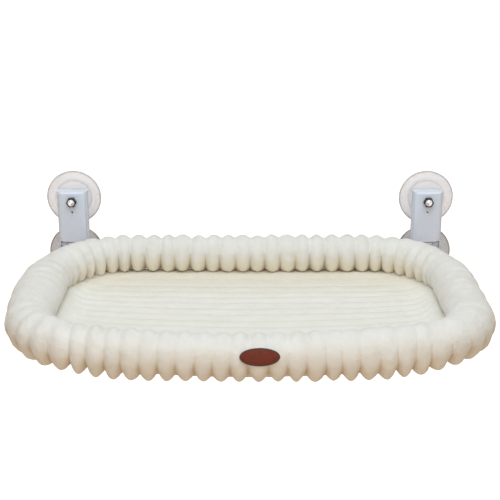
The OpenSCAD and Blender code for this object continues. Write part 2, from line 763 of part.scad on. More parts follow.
module front_sleeve(r, sweep) {
    arc_bar(0, bow_cy, bow_path_r, r, -90 - sweep / 2, -90 + sweep / 2, tube_z);
}

// Strip of the panel that runs under the front tube into the sleeve
module front_flap(sweep) {
    inner_r = bow_path_r - panel_inset - cut;
    translate([0, bow_cy, panel_top_z - panel_t]) rotate(-90 - sweep / 2)
        rotate_extrude(angle = sweep, $fn = 180)
            translate([inner_r, 0]) square([bow_path_r - inner_r, panel_t]);
}

// Ribbed roll round the front and the two sides of the bed
module bolster_front() {
    start = rear_half_ribs * rib_step;
    color("#f1ece0") ribbed_roll(start + split_gap / 2, 2 * half_length - start - split_gap / 2,
        2 * (half_ribs - rear_half_ribs), -roll_r);
}

// Ribbed roll along the rear of the bed, which gives way when the bed folds up
module bolster_rear() {
    start = rear_half_ribs * rib_step;
    color("#ece7db") ribbed_roll(-start + split_gap / 2, start - split_gap / 2,
        2 * rear_half_ribs, rear_floor);
}

// Mat with a low crown and sewn channels from side to side
mat_x_shares = [-1, -0.98, -0.9, -0.7, -0.4, 0, 0.4, 0.7, 0.9, 0.98, 1];
mat_top_shares = [0.75, 0.97, 1, 1, 1, 1, 1, 1, 1, 0.97, 0.75];
mat_columns = len(mat_x_shares);
mat_end_height_share = 0.8;
mat_half = tube_x - mat_inset;
mat_ribs = round((mat_rear_y - front_edge_y(0, mat_inset)) / rib_pitch);
function mat_end_share(i, rows) = i == 0 || i == rows - 1 ? mat_end_height_share : 1;
function mat_y(i, rows, share) =
    mat_rear_y + i / (rows - 1) * (front_edge_y(share * mat_half, mat_inset) - mat_rear_y);
function mat_top(i, k, rows) =
    mat_z + mat_t * mat_top_shares[k] * mat_end_share(i, rows)
        - (i % 2 == 0 && i > 0 && i < rows - 1 ? mat_channel * mat_top_shares[k] : 0);
module mat() {
    rows = 2 * mat_ribs + 1;
    points = [
        for (i = [0:rows - 1]) each concat(
            [for (k = [0:mat_columns - 1])
                [mat_x_shares[k] * mat_half, mat_y(i, rows, mat_x_shares[k]), mat_top(i, k, rows)]],
            [for (k = [mat_columns - 1:-1:0])
                [mat_x_shares[k] * mat_half, mat_y(i, rows, mat_x_shares[k]), mat_z]]
        )
    ];
    color("#eeeae0") polyhedron(points, loft_faces(rows, 2 * mat_columns));
}

// Oval leather label that lies round the front of the roll
label_tilt = 24;
label_points = 48;
module leather_label() {
    seat_y = bow_cy - sqrt(bow_r * bow_r - label_x * label_x);
    inner_r = roll_r + soft_gap;
    color("#6b3a2a") translate([label_x, seat_y, roll_z]) intersection() {
        difference() {
            x_bar(inner_r + label_t, -label_w, label_w);
            x_bar(inner_r, -label_w - cut, label_w + cut);
        }
        rotate([90 - label_tilt, 0, 0]) linear_extrude(height = roll_d)
            polygon([for (i = [0:label_points - 1])
                [label_w / 2 * cos(i * 360 / label_points), label_h / 2 * sin(i * 360 / label_points)]]);
    }
}

// Zip under the bed: two tapes and a row of teeth
module zip_tape() {
    teeth = floor(zip_l / zip_tooth_pitch) - 1;
    tooth_z = zip_z - zip_tape_t - zip_teeth_h / 2 + touch_gap;
    color("#e4dfd4") {
        block([-zip_l / 2, zip_y - zip_w / 2, zip_z - zip_tape_t], [zip_l / 2, zip_y + zip_w / 2, zip_z]);
        block([-zip_l / 2, zip_y - zip_teeth_w / 3, zip_z - zip_tape_t - zip_teeth_h / 2],
              [zip_l / 2, zip_y + zip_teeth_w / 3, zip_z - zip_tape_t + touch_gap]);
        for (i = [0:teeth])
            translate([(i - teeth / 2) * zip_tooth_pitch, zip_y, tooth_z])
                cube([zip_tooth_pitch / 2, zip_teeth_w, zip_teeth_h], center = true);
    }
}

slider_x = zip_l / 2 - zip_end_room;

// Slider of the zip, a channel round the teeth with a bridge for the pull
module zip_slider() {
    half_w = zip_teeth_w / 2 + slider_gap;
    color("#c9ccd0") translate([slider_x, zip_y, 0]) {
        difference() {
            block([-slider_l / 2, -slider_w / 2, slider_bottom_z],
                  [slider_l / 2, slider_w / 2, slider_top_z]);
            block([-slider_l, -half_w, slider_bottom_z + slider_wall - slider_gap],
                  [slider_l, half_w, slider_top_z + cut]);
        }
        for (s = [-1, 1]) block([-bridge_r, s * slider_w / 3 - bridge_r, bridge_z - bridge_r],
                                [bridge_r, s * slider_w / 3 + bridge_r, slider_bottom_z + touch_gap]);
        y_bar(bridge_r, slider_w / 3, -slider_w / 3, 0, bridge_z);
    }
}

// Pull of the zip, which hangs from the bridge
module zip_pull() {
    eye_w = 2 * slider_w / 3 - 2 * bridge_r - 2 * slider_gap;
    color("#b9bcc1") translate([slider_x, zip_y, bridge_z]) difference() {
        union() {
            y_bar(pull_eye_r, eye_w / 2, -eye_w / 2);
            block([-pull_t / 2, -eye_w / 2, -2 * pull_eye_r], [pull_t / 2, eye_w / 2, 0]);
            translate([-pull_t / 2, 0, 0]) rotate([0, 90, 0])
                linear_extrude(height = pull_t) pull_outline();
        }
        y_bar(bridge_r + touch_gap, eye_w, -eye_w);
    }
}

module pull_outline() {
    translate([2 * pull_eye_r, -pull_w / 2]) square([pull_l - pull_w / 2 - 2 * pull_eye_r, pull_w]);
    difference() {
        translate([pull_l - pull_w / 2, 0]) circle(r = pull_w / 2);
        translate([pull_l - pull_w / 2, 0]) circle(r = pull_w / 4);
    }
}

back_shell("left");  // left_back_shell
back_shell("right");  // right_back_shell
front_cover("left");  // left_front_cover
front_cover("right");  // right_front_cover
cover_screws("left");  // left_cover_screws
cover_screws("right");  // right_cover_screws
pivot_pin("left");  // left_pivot_pin
pivot_pin("right");  // right_pivot_pin
pin_clip("left");  // left_pin_clip
pin_clip("right");  // right_pin_clip
arm("left");  // left_arm
arm("right");  // right_arm
arm_screw("left");  // left_arm_screw
arm_screw("right");  // right_arm_screw
cup("left", cup_z);  // left_upper_cup
cup("right", cup_z);  // right_upper_cup
cup("left", -cup_z);  // left_lower_cup
cup("right", -cup_z);  // right_lower_cup
stud("left", cup_z, upper_stud_end_y);  // left_upper_stud
stud("right", cup_z, upper_stud_end_y);  // right_upper_stud
stud("left", -cup_z, lower_stud_end_y);  // left_lower_stud
stud("right", -cup_z, lower_stud_end_y);  // right_lower_stud
nut("left", cup_z, front_face_y);  // left_upper_nut
nut("right", cup_z, front_face_y);  // right_upper_nut
nut("left", -cup_z, lower_seat_y);  // left_lower_nut
nut("right", -cup_z, lower_seat_y);  // right_lower_nut
washer("left");  // left_lower_washer
washer("right");  // right_lower_washer
frame_front_tube();
side_tube("left");  // frame_left_tube
side_tube("right");  // frame_right_tube
frame_elbow("left");  // frame_left_elbow
frame_elbow("right");  // frame_right_elbow
frame_joint_screws();
rear_crossbar();
crossbar_screws();
base_panel();
bolster_front();
bolster_rear();
mat();
leather_label();
zip_tape();
zip_slider();
zip_pull();
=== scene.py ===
"""Looks of a window perch: a ribbed plush bed on a tube frame, hung from two brackets with suction cups.

Lengths are in metres. The glass is the plane y = 0, the room lies towards -Y and Z points up.
"""
import math
import random

import bpy
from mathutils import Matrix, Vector, noise


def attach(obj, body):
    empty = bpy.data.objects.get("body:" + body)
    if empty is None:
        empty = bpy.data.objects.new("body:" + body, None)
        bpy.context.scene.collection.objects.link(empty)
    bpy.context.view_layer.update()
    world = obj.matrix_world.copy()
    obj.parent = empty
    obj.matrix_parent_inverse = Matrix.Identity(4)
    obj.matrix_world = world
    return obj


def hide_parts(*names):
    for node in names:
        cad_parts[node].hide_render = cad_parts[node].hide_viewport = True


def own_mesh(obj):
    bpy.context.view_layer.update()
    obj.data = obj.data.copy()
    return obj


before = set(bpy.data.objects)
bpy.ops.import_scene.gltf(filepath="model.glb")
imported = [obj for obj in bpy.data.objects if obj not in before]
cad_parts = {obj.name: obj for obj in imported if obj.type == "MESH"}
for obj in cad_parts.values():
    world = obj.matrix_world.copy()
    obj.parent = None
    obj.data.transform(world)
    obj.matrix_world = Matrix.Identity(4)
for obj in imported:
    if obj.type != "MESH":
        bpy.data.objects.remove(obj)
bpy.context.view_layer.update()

# Camera, fitted to the photograph's 500 pixels
PHOTO_PIXELS = 500
FOCAL_PIXELS = 1134
SENSOR_W = 36.0
CAMERA_PLACE = (0.0, -1.616, 0.500)
CAMERA_TILT = 18.5

# Bed, at the middle of its padded roll
ROLL_R = 0.030
SIDE_X = 0.276
REAR_Y = -0.063
FRONT_Y = -0.418
ROLL_Z = -0.031
REAR_CORNER_R = 0.110
FRONT_CORNER_R = 0.100
FRONT_BOW = 0.0215
RIB_PITCH = 0.0215
SPLIT_GAP = 0.0005
SPLIT_ANGLE = 14

# Frame, under the roll
TUBE_R = 0.008
TUBE_X = 0.260
TUBE_Z = -0.058
FRONT_TUBE_BACK = 0.011
CROSSBAR_Y = -0.0727
CROSSBAR_R = 0.006
CROSSBAR_Z = -0.060
CLOTH_T = 0.0012
SLEEVE_R = TUBE_R + 0.0008
SLEEVE_AIR = 0.0006

# How the ribs are sewn
RIB_STOPS = (0.0, 0.045, 0.13, 0.28, 0.5, 0.72, 0.87, 0.955)
RING_STEPS = len(RIB_STOPS)
ROLL_SIDES = 48
VALLEY_DEPTHS = ((-180, 0.0026), (-120, 0.0095), (-80, 0.0112), (-45, 0.0097), (0, 0.0042), (40, 0.0016),
                 (95, 0.0056), (140, 0.0036), (180, 0.0026))
REAR_DEPTHS = ((-180, 0.0104), (-140, 0.0112), (-110, 0.0080), (-60, 0.0070), (0, 0.0042), (60, 0.0056),
               (110, 0.0040), (150, 0.0066), (180, 0.0104))
SIDE_CALM = 0.86
RIGHT_CALM = 0.5
LEFT_FOLDS = 0.0022
LEFT_FOLDS_AT = ((-0.66, 0.0), (-0.60, 1.0), (-0.52, 1.0), (-0.465, 0.0))
SEWN_FROM = 0.15
LOOSE = 0.25

# How the soft roll strays from its even ring, by the distance along it from the middle of
# the rear (left of it is negative): its outer side outwards, the rear upwards, and the
# underside downwards by the distance from the middle of the front
OUTER_STRAYS = ((-0.47, 0.0), (-0.42, 0.0045), (-0.385, 0.0057), (-0.345, 0.0040), (-0.30, 0.0),
                (0.22, 0.0), (0.26, -0.0030), (0.30, -0.0060), (0.33, -0.0040), (0.37, -0.0022),
                (0.43, -0.0016), (0.48, 0.0))
REAR_LIFTS = ((0.0, 0.0038), (0.17, 0.0042), (0.23, 0.0030), (0.30, 0.0))
FRONT_SAGS = ((0.0, -0.0005), (0.06, 0.0), (0.10, 0.0015), (0.13, 0.0036), (0.165, 0.0043), (0.195, 0.0028),
              (0.24, 0.0))

random.seed(27)


# Ring of the roll

REAR_CX = SIDE_X - REAR_CORNER_R
REAR_CY = REAR_Y - REAR_CORNER_R
CORNER_CX = SIDE_X - FRONT_CORNER_R
BOW_R = (CORNER_CX ** 2 + FRONT_BOW ** 2) / (2 * FRONT_BOW)
BOW_CY = FRONT_Y + BOW_R
CORNER_CY = BOW_CY - math.sqrt((BOW_R - FRONT_CORNER_R) ** 2 - CORNER_CX ** 2)
BOW_ANGLE = math.atan(CORNER_CX / (BOW_CY - CORNER_CY))
FRAME_INSET = SIDE_X - TUBE_X
FRAME_BOW_R = BOW_R - FRAME_INSET - FRONT_TUBE_BACK
ELBOW_R = FRONT_CORNER_R - FRAME_INSET
ELBOW_CY = BOW_CY - math.sqrt((FRAME_BOW_R - ELBOW_R) ** 2 - CORNER_CX ** 2)
ELBOW_ANGLE = math.atan(CORNER_CX / (BOW_CY - ELBOW_CY))
S_REAR = REAR_CX + REAR_CORNER_R * math.pi / 2
S_SIDE = S_REAR + REAR_CY - CORNER_CY
S_CORNER = S_SIDE + FRONT_CORNER_R * (math.pi / 2 - BOW_ANGLE)
HALF_LENGTH = S_CORNER + BOW_R * BOW_ANGLE
HALF_RIBS = round(HALF_LENGTH / RIB_PITCH)
RIB_STEP = HALF_LENGTH / HALF_RIBS
REAR_HALF_RIBS = round((S_REAR - REAR_CORNER_R * math.radians(SPLIT_ANGLE)) / RIB_STEP)


def arc_point(cx, cy, r, start, run):
    """The point that lies run further round an arc, with the direction out of the bed."""
    a = start - run / r
    return cx + r * math.cos(a), cy + r * math.sin(a), a


def half_point(s):
    if s < REAR_CX:
        return s, REAR_Y, math.pi / 2
    if s < S_REAR:
        return arc_point(REAR_CX, REAR_CY, REAR_CORNER_R, math.pi / 2, s - REAR_CX)
    if s < S_SIDE:
        return SIDE_X, REAR_CY - (s - S_REAR), 0.0
    if s < S_CORNER:
        return arc_point(CORNER_CX, CORNER_CY, FRONT_CORNER_R, 0.0, s - S_SIDE)
    return arc_point(0.0, BOW_CY, BOW_R, BOW_ANGLE - math.pi / 2, s - S_CORNER)


def half_way(s):
    """The distance s along the roll, brought to its right half."""
    return 2 * HALF_LENGTH - s if s > HALF_LENGTH else abs(s)


def ring_point(s):
    """Middle of the roll at the distance s from the middle of its rear, clockwise from above."""
    x, y, a = half_point(half_way(s))
    return (-x, y, math.pi - a) if s < 0 or s > HALF_LENGTH else (x, y, a)


def front_edge_y(x, inset):
    """The front of the bed's inside at x, inset from the middle of the frame's tubes."""
    if abs(x) < (FRAME_BOW_R - inset) * math.sin(ELBOW_ANGLE):
        return BOW_CY - math.sqrt((FRAME_BOW_R - inset) ** 2 - x * x)
    return ELBOW_CY - math.sqrt(max(0.0, (ELBOW_R - inset) ** 2 - (abs(x) - CORNER_CX) ** 2))


def bow_y(x):
    """The middle of the roll's bowed front at x."""
    return BOW_CY - math.sqrt(BOW_R ** 2 - x * x)


def frame_inset(s):
    """How far inside the middle of the roll the frame lies, at the distance s along the roll."""
    s = half_way(s)
    if s < S_SIDE:
        return FRAME_INSET
    if s < S_CORNER:
        return FRAME_INSET - (ELBOW_CY - CORNER_CY) * math.sin(half_point(s)[2])
    return FRAME_INSET + FRONT_TUBE_BACK


# Small tools

def clip(x):
    """x, held between 0 and 1."""
    return min(1.0, max(0.0, x))


def soft_limit(x, limit, ease=0.002):
    """x, held under limit with a rounded shoulder."""
    over = x - limit + ease
    if over <= 0:
        return x
    return limit - ease + ease * (1 - math.exp(-over / ease))


def eased(table, place):
    """The value of a table at a place, eased from one of its places to the next."""
    if place <= table[0][0]:
        return table[0][1]
    for (first, low), (last, high) in zip(table, table[1:]):
        if place <= last:
            share = (1 - math.cos(math.pi * (place - first) / (last - first))) / 2
            return low + (high - low) * share
    return table[-1][1]


def at_angle(table, a):
    """The value of a table at an angle round the roll."""
    return eased(table, (math.degrees(a) + 180) % 360 - 180)


def put(thing, **settings):
    for key, value in settings.items():
        setattr(thing, key, value)
    return thing


def new_object(name, data):
    obj = bpy.data.objects.new(name, data)
    bpy.context.scene.collection.objects.link(obj)
    return obj


def mesh_piece(name, points, faces):
    mesh = bpy.data.meshes.new(name)
    mesh.from_pydata([tuple(p) for p in points], [], faces)
    mesh.update()
    return new_object(name, mesh)


def tube_faces(steps, n):
    """The faces between rings of n points each."""
    return [(r * n + i, r * n + (i + 1) % n, (r + 1) * n + (i + 1) % n, (r + 1) * n + i)
            for r in range(steps) for i in range(n)]


def grid_faces(columns, rows):
    width = columns + 1
    return [(r * width + k, r * width + k + 1, (r + 1) * width + k + 1, (r + 1) * width + k)
            for r in range(rows) for k in range(columns)]


def deselect():
    bpy.ops.object.select_all(action="DESELECT")


def pick(obj):
    """Makes obj the only selected and the active object."""
    deselect()
    obj.select_set(True)
    bpy.context.view_layer.objects.active = obj


def edit_whole(*steps):
    """Runs operators with their settings on the whole mesh of the active object."""
    bpy.ops.object.mode_set(mode="EDIT")
    bpy.ops.mesh.select_all(action="SELECT")
    for step, settings in steps:
        step(**settings)
    bpy.ops.object.mode_set(mode="OBJECT")


def smooth(obj, angle=None):
    pick(obj)
    if angle is None:
        bpy.ops.object.shade_smooth()
    else:
        bpy.ops.object.shade_smooth_by_angle(angle=math.radians(angle))


def apply_modifier(obj, kind, **settings):
    pick(obj)
    modifier = put(obj.modifiers.new(kind, kind), **settings)
    bpy.ops.object.modifier_apply(modifier=modifier.name)


def set_attribute(obj, name, values):
    attribute = obj.data.attributes.new(name, "FLOAT", "POINT")
    attribute.data.foreach_set("value", values)


def give_uv(obj, places):
    """UV lengths in metres, one pair for each vertex."""
    layer = obj.data.uv_layers.new(name="cut")
    for loop in obj.data.loops:
        layer.data[loop.index].uv = places[loop.vertex_index]


def inflate(obj, sewn, pressure, cap, frames=20):
    """Swells the cloth between its sewn lines. No point moves further than cap."""
    group = obj.vertex_groups.new(name="sewn")
    for i, weight in enumerate(sewn):
        if weight > 0:
            group.add([i], weight, "REPLACE")
    before = [v.co.copy() for v in obj.data.vertices]
    pick(obj)
    swell = obj.modifiers.new("swell", "CLOTH")
    put(swell.settings, quality=6, mass=0.2, tension_stiffness=12, compression_stiffness=12,
        shear_stiffness=6, bending_stiffness=0.4, vertex_group_mass="sewn", use_pressure=True,
        uniform_pressure_force=pressure)
    swell.settings.effector_weights.gravity = 0
    swell.collision_settings.use_collision = False
    put(swell.point_cache, frame_start=1, frame_end=frames)
    scene = bpy.context.scene
    for number in range(1, frames + 1):
        scene.frame_set(number)
    pick(obj)
    bpy.ops.object.modifier_apply(modifier="swell")
    scene.frame_set(1)
    for v, start in zip(obj.data.vertices, before):
        step = v.co - start
        if step.length > cap:
            v.co = start + step * (cap / step.length)
    obj.vertex_groups.clear()
    obj.data.update()


# Ribbed roll

def stray(most):
    return random.uniform(-most, most)


# How each sewn line between two ribs, and each rib, strays from the even pattern
MARKS = [{
    "shift": stray(0.0010), "lean": stray(0.0016), "phase": random.uniform(0, 2 * math.pi),
    "depth": random.uniform(0.82, 1.2), "swell": stray(0.0006), "tip": random.uniform(0.85, 1.2),
} for _ in range(2 * HALF_RIBS)]
# The sewn lines where the rear and the front roll meet
SPLITS = (-REAR_HALF_RIBS, REAR_HALF_RIBS, 2 * HALF_RIBS - REAR_HALF_RIBS)
SLEEVE_DOWN = TUBE_Z - ROLL_Z
REAR_FLOOR = -0.0186
ROUND_EASE = 0.050
LEAN = 0.85
LEAN_FADES = math.radians(22)
LEAN_ENDS = math.radians(80)
SMOOTH_RIGHT_AT = ((0.04, 0.0), (0.09, 1.0))
CALM_AT = ((0.12, 0.0), (0.75, 1.0))
UNDER_RIBBED = 0.95
REAR_RIBBED = 0.8
OUTER_RIBBED = (0.42, 0.75)
RIGHT_CALM_RISE = 0.45
LEFT_FOLDS_ANGLE = 0.4
# Power of the curve across a rib: on its outer face, how much less on top and underneath, and the least
RIB_POWERS = (2.4, 0.5, 0.97, 1.25)
# How much rounder the ribs of the sides and the top are
SIDE_ROUND = 0.8
TOP_ROUND = 0.55
# How wide and strong the painted shade over a sewn line is: on the outer face, how much less on top, and the
# most;
# and the power of its fall from the line, with what its width takes off it
REAR_CREASE_SHADE = (0.3, 0.8)
FRONT_CREASE_SHADE = (0.50, 2.1)
MOST_CREASE_SHADE = 0.87
CREASE_POWERS = (6.5, 2.5)
# Painted warm bounce light on the rear's pile: the height round the roll below which it grows, and where it
# fades at the rear corners
PAINTED_BOUNCE_HEIGHT = 0.55
PAINTED_BOUNCE_AT = ((0.7 * S_REAR, 1.0), (S_REAR, 0.0))
# The rings that close the end of a stretch, and the valley, painted crease shade and painted bounce light of
# their points
CAP_RINGS = (0.7, 0.35)
CAP_MARKS = (1.0, 0.5, 0.0)
ROLL_PRESSURE = 3.0
ROLL_SWELL = 0.0022
# Tufts and clumps of the short pile, and the wider dents of soft filling
PILE_FORMS = ((420, (0, 0, 0), 0.00030), (130, (7, 3, 5), 0.00050), (38, (1, 9, 2), 0.0009))


def rib_lean(s):
    """How far a sewn line of the front, nearly along Y, strays along the roll for each metre outwards."""
    turn = half_point(half_way(s))[2] + math.pi / 2
    if turn > LEAN_ENDS:
        return 0.0
    lean = LEAN * math.tan(min(turn, LEAN_FADES))
    if turn > LEAN_FADES:
        lean *= (1 + math.cos(math.pi * (turn - LEAN_FADES) / (LEAN_ENDS - LEAN_FADES))) / 2
    return lean if s < HALF_LENGTH else -lean


def valley_shape(a, tip, out, signed):
    """Depth of a sewn valley, and how blunt the ribs beside it are, at an angle round the roll.

    The top of the front is smoother to the right of its middle, and the left corner is folded up to its top.
    """
    right = eased(SMOOTH_RIGHT_AT, HALF_LENGTH - signed) if signed > 0 else 0.0
    under = max(0.0, -math.sin(a))
    over = max(0.0, math.sin(a))
    rear_share = max(0.0, math.sin(out))
    front_share = max(0.0, -math.sin(out))
    depth = at_angle(VALLEY_DEPTHS, a)
    depth += (at_angle(REAR_DEPTHS, a) - depth) * rear_share
    ribbed = UNDER_RIBBED * under ** 0.6
    outer = min(1.0, max(0.0, OUTER_RIBBED[0] - math.sin(a)) / OUTER_RIBBED[1])
    ribbed += (outer - ribbed) * front_share ** 0.6 * max(0.0, math.cos(a)) ** 0.5
    calm = SIDE_CALM * eased(CALM_AT, abs(math.cos(out))) * (1 - ribbed)
    depth *= 1 - calm * (1 - REAR_RIBBED * rear_share * max(0.0, -math.cos(a)))
    depth *= 1 - RIGHT_CALM * right * front_share * clip(math.sin(a) + RIGHT_CALM_RISE)
    depth += LEFT_FOLDS * eased(LEFT_FOLDS_AT, signed) * max(0.0, math.cos(a - LEFT_FOLDS_ANGLE)) ** 2
    most, on_top, underneath, least = RIB_POWERS
    return depth, max(least, most - on_top * over - underneath * under ** 1.5 * tip)


def crease_shade(t, a, rear):
    """Painted shade over a sewn line: wide and strong underneath, none on top."""
    outer, falls = REAR_CREASE_SHADE if rear else FRONT_CREASE_SHADE
    crease_darkness = min(MOST_CREASE_SHADE, max(0.0, outer - falls * math.sin(a)))
    return abs(2 * t - 1) ** (CREASE_POWERS[0] - CREASE_POWERS[1] * crease_darkness) * crease_darkness


def painted_bounce_share(s, a):
    """How much painted warm bounce light, from the mat below, is laid on the pile of the rear towards its
    foot, where it faces the mat.
    """
    return clip(PAINTED_BOUNCE_HEIGHT - math.sin(a)) * eased(PAINTED_BOUNCE_AT, abs(s))


def roll_vertex(rib, t, a, rear):
    """A point of the roll, at t from 0 to 1 across a numbered rib and the angle a from outwards."""
    near = MARKS[rib % len(MARKS)]
    far = MARKS[(rib + 1) % len(MARKS)]
    s = (rib + t) * RIB_STEP
    stray_near = near["shift"] + near["lean"] * math.sin(a + near["phase"])
    stray_far = far["shift"] + far["lean"] * math.sin(a + far["phase"])
    s += stray_near * (1 - t) + stray_far * t
    if not rear:
        s += rib_lean(s) * ROLL_R * math.cos(a)
    x, y, out = ring_point(s)
    signed = s - 2 * HALF_LENGTH if s > HALF_LENGTH else s
    depth, power = valley_shape(a, near["tip"], out, signed)
    depth *= near["depth"] * (1 - t) + far["depth"] * t
    hump = 1 - abs(2 * t - 1) ** power
    soften = min(1.0, SIDE_ROUND * abs(math.cos(out)) + TOP_ROUND * max(0.0, math.sin(a)))
    hump += (math.sin(math.pi * t) ** 2 - hump) * soften * (1 - max(0.0, -math.sin(a)))
    r = ROLL_R + near["swell"] * math.sin(math.pi * t) - depth * (1 - hump)
    lift = eased(REAR_LIFTS, abs(signed))
    u = r * math.cos(a) + eased(OUTER_STRAYS, signed) * (1 + math.cos(a)) / 2
    w = r * math.sin(a) - eased(FRONT_SAGS, HALF_LENGTH - abs(signed)) * (1 - math.sin(a)) / 2
    inset = frame_inset(s)
    drop = SLEEVE_DOWN - lift
    reach = math.hypot(inset, drop)
    side = -inset / reach
    down = drop / reach
    along = u * side + w * down
    limit = reach - SLEEVE_R - CLOTH_T - SLEEVE_AIR
    if rear:
        limit += (ROLL_R + 0.002 - limit) * clip((REAR_HALF_RIBS * RIB_STEP - abs(s)) / ROUND_EASE) ** 0.7
    held = soft_limit(along, limit)
    u += (held - along) * side
    w += (held - along) * down
    if rear:
        w = -soft_limit(-w, -REAR_FLOOR)
    return Vector((x + u * math.cos(out), y + u * math.sin(out), ROLL_Z + lift + w))


def ribbed_roll(name, first, last, rear=False):
    """A stretch of the roll from one sewn line to another, closed at both ends."""
    n = ROLL_SIDES
    points = []
    marks = []
    steps = (last - first) * RING_STEPS
    for i in range(steps + 1):
        rib = min(first + i // RING_STEPS, last - 1)
        t = RIB_STOPS[i % RING_STEPS] if i < steps else 1.0
        if i == 0 and first in SPLITS:
            t += SPLIT_GAP / 2 / RIB_STEP
        if i == steps and last in SPLITS:
            t -= SPLIT_GAP / 2 / RIB_STEP
        for k in range(n):
            a = 2 * math.pi * k / n
            points.append(roll_vertex(rib, t, a, rear))
            # glow marks painted warm bounce light, not a colour of the pile
            glow = painted_bounce_share((rib + t) * RIB_STEP, a) if rear else 0.0
            marks.append((abs(2 * t - 1) ** 6, crease_shade(t, a, rear), glow))
    faces = tube_faces(steps, n)
    for base, turn in ((0, -1), (steps * n, 1)):
        rim = points[base:base + n]
        middle = sum(rim, Vector()) / n
        for share in CAP_RINGS:
            start = len(points)
            points += [middle + (p - middle) * share for p in rim]
            faces += [(base + k, base + (k + 1) % n, start + (k + 1) % n, start + k)[::turn]
                      for k in range(n)]
            base = start
        faces += [(base + k, base + (k + 1) % n, len(points))[::turn] for k in range(n)]
        points.append(middle)
    marks += [CAP_MARKS] * (len(points) - len(marks))
    valley, painted_shade, glow = zip(*marks)
    roll = mesh_piece(name, points, faces)
    sewn = [1.0 if value > SEWN_FROM else LOOSE * value for value in valley]
    inflate(roll, sewn, ROLL_PRESSURE, ROLL_SWELL)
    for label, values in (("valley", valley), ("painted_shade", painted_shade), ("glow", glow)):
        set_attribute(roll, label, values)
    sharpen_rims(roll, (range(n), range(steps * n, (steps + 1) * n)))
    fluff(roll)
    finish_with(roll, "plush")
    return roll


def sharpen_rims(obj, rims):
    """Keeps the rims of the closed ends sharp, so that the pile runs on over a split."""
    crease = obj.data.attributes.new("crease_edge", "FLOAT", "EDGE")
    for edge in obj.data.edges:
        first, second = edge.vertices
        if any(first in rim and second in rim for rim in rims):
            crease.data[edge.index].value = 1.0
            edge.use_edge_sharp = True


def fluff(obj):
    """Rounds a padded piece, raises the pile between its sewn lines, and forgets where those are."""
    apply_modifier(obj, "SUBSURF", levels=1, render_levels=1)
    valley = obj.data.attributes["valley"]
    shares = [1 - item.value for item in valley.data]
    normals = [v.normal.copy() for v in obj.data.vertices]
    for v, normal, share in zip(obj.data.vertices, normals, shares):
        pile = sum(noise.noise(v.co * scale + Vector(shift)) * height for scale, shift, height in PILE_FORMS)
        v.co += normal * (pile * share)
    obj.data.attributes.remove(valley)
    obj.data.update()
    smooth(obj)


# Materials

class Tree:
    """The nodes of a material, a node group or the world. Inputs take sockets or plain values."""

    def __init__(self, tree, material=None):
        self.tree = tree
        self.material = material

    def feed(self, made, inputs):
        for name, value in inputs.items():
            if isinstance(value, bpy.types.NodeSocket):
                self.tree.links.new(value, made.inputs[name])
            else:
                made.inputs[name].default_value = (*value, 1) if isinstance(value, tuple) else value
        return made

    def node(self, kind, inputs=None, **settings):
        return self.feed(put(self.tree.nodes.new("ShaderNode" + kind), **settings), inputs or {})

    def math(self, operation, *values):
        return self.node("Math", dict(enumerate(values)), operation=operation).outputs[0]

    def times(self, first, second):
        return self.math("MULTIPLY", first, second)

    def noise(self, vector, scale, detail=2.0, roughness=0.5):
        inputs = {"Vector": vector, "Scale": scale, "Detail": detail, "Roughness": roughness}
        return self.node("TexNoise", inputs).outputs["Fac"]

    def ramp(self, factor, low, high, to_low=0.0, to_high=1.0):
        """Stretches a factor from low..high to 0..1, or to other limits."""
        inputs = {"Value": factor, "From Min": low, "From Max": high, "To Min": to_low, "To Max": to_high}
        return self.node("MapRange", inputs).outputs["Result"]

    def mix(self, factor, low, high):
        """A colour between two, by a factor."""
        inputs = {"Factor": factor, "A": low, "B": high}
        return self.node("Mix", inputs, data_type="RGBA").outputs["Result"]

    def attribute(self, name):
        return self.node("Attribute", attribute_name=name).outputs["Fac"]

    def places(self, kind="Object"):
        return self.node("TexCoord").outputs[kind]

    def along(self, axis):
        return self.node("SeparateXYZ", {0: self.places()}).outputs[axis]

    def effect(self, group, count, kind="Object"):
        """Height and shade of a shared effect, on the object's own places or on its UV lengths."""
        made = self.node("Group", node_tree=group)
        return self.feed(made, {0: self.places(kind), 1: count}).outputs

    def surface(self, colour, roughness, height, strength, distance, **more):
        """Finishes a material with its colour, roughness, bump and what else the shader takes."""
        bump = self.node("Bump", {"Strength": strength, "Distance": distance, "Height": height})
        inputs = {"Base Color": colour, "Roughness": roughness, "Normal": bump.outputs["Normal"]}
        inputs |= {key.replace("_", " "): value for key, value in more.items()}
        self.feed(self.tree.nodes["Principled BSDF"], inputs)
        return self.material


def new_material(name):
    material = bpy.data.materials.new(name)
    material.use_nodes = True
    return Tree(material.node_tree, material)


def new_group(name, count, build):
    """A shared effect: places and a count per metre give a height for the bump and a shade."""
    group = bpy.data.node_groups.new(name, "ShaderNodeTree")
    for label, side, kind in (("Vector", "INPUT", "Vector"), (count, "INPUT", "Float"),
                              ("Height", "OUTPUT", "Float"), ("Shade", "OUTPUT", "Float")):
        group.interface.new_socket(name=label, in_out=side, socket_type="NodeSocket" + kind)
    tree = Tree(group)
    given = group.nodes.new("NodeGroupInput").outputs
    height, shade = build(tree, given[0], given[1])
    tree.feed(group.nodes.new("NodeGroupOutput"), {"Height": height, "Shade": shade})
    return group


def pile_effect(tree, vector, tufts_per_metre):
    """Short pile: tufts, brushed patches and a shade between them."""
    tufts = tree.noise(vector, tufts_per_metre, 3.0, 0.6)
    clumps = tree.noise(vector, 210.0)
    patches = tree.noise(vector, 42.0, 3.0, 0.55)
    return (tree.math("ADD", tree.times(tufts, 0.6), tree.times(clumps, 0.8)),
            tree.math("ADD", tree.times(patches, 0.65), tree.times(tufts, 0.35)))


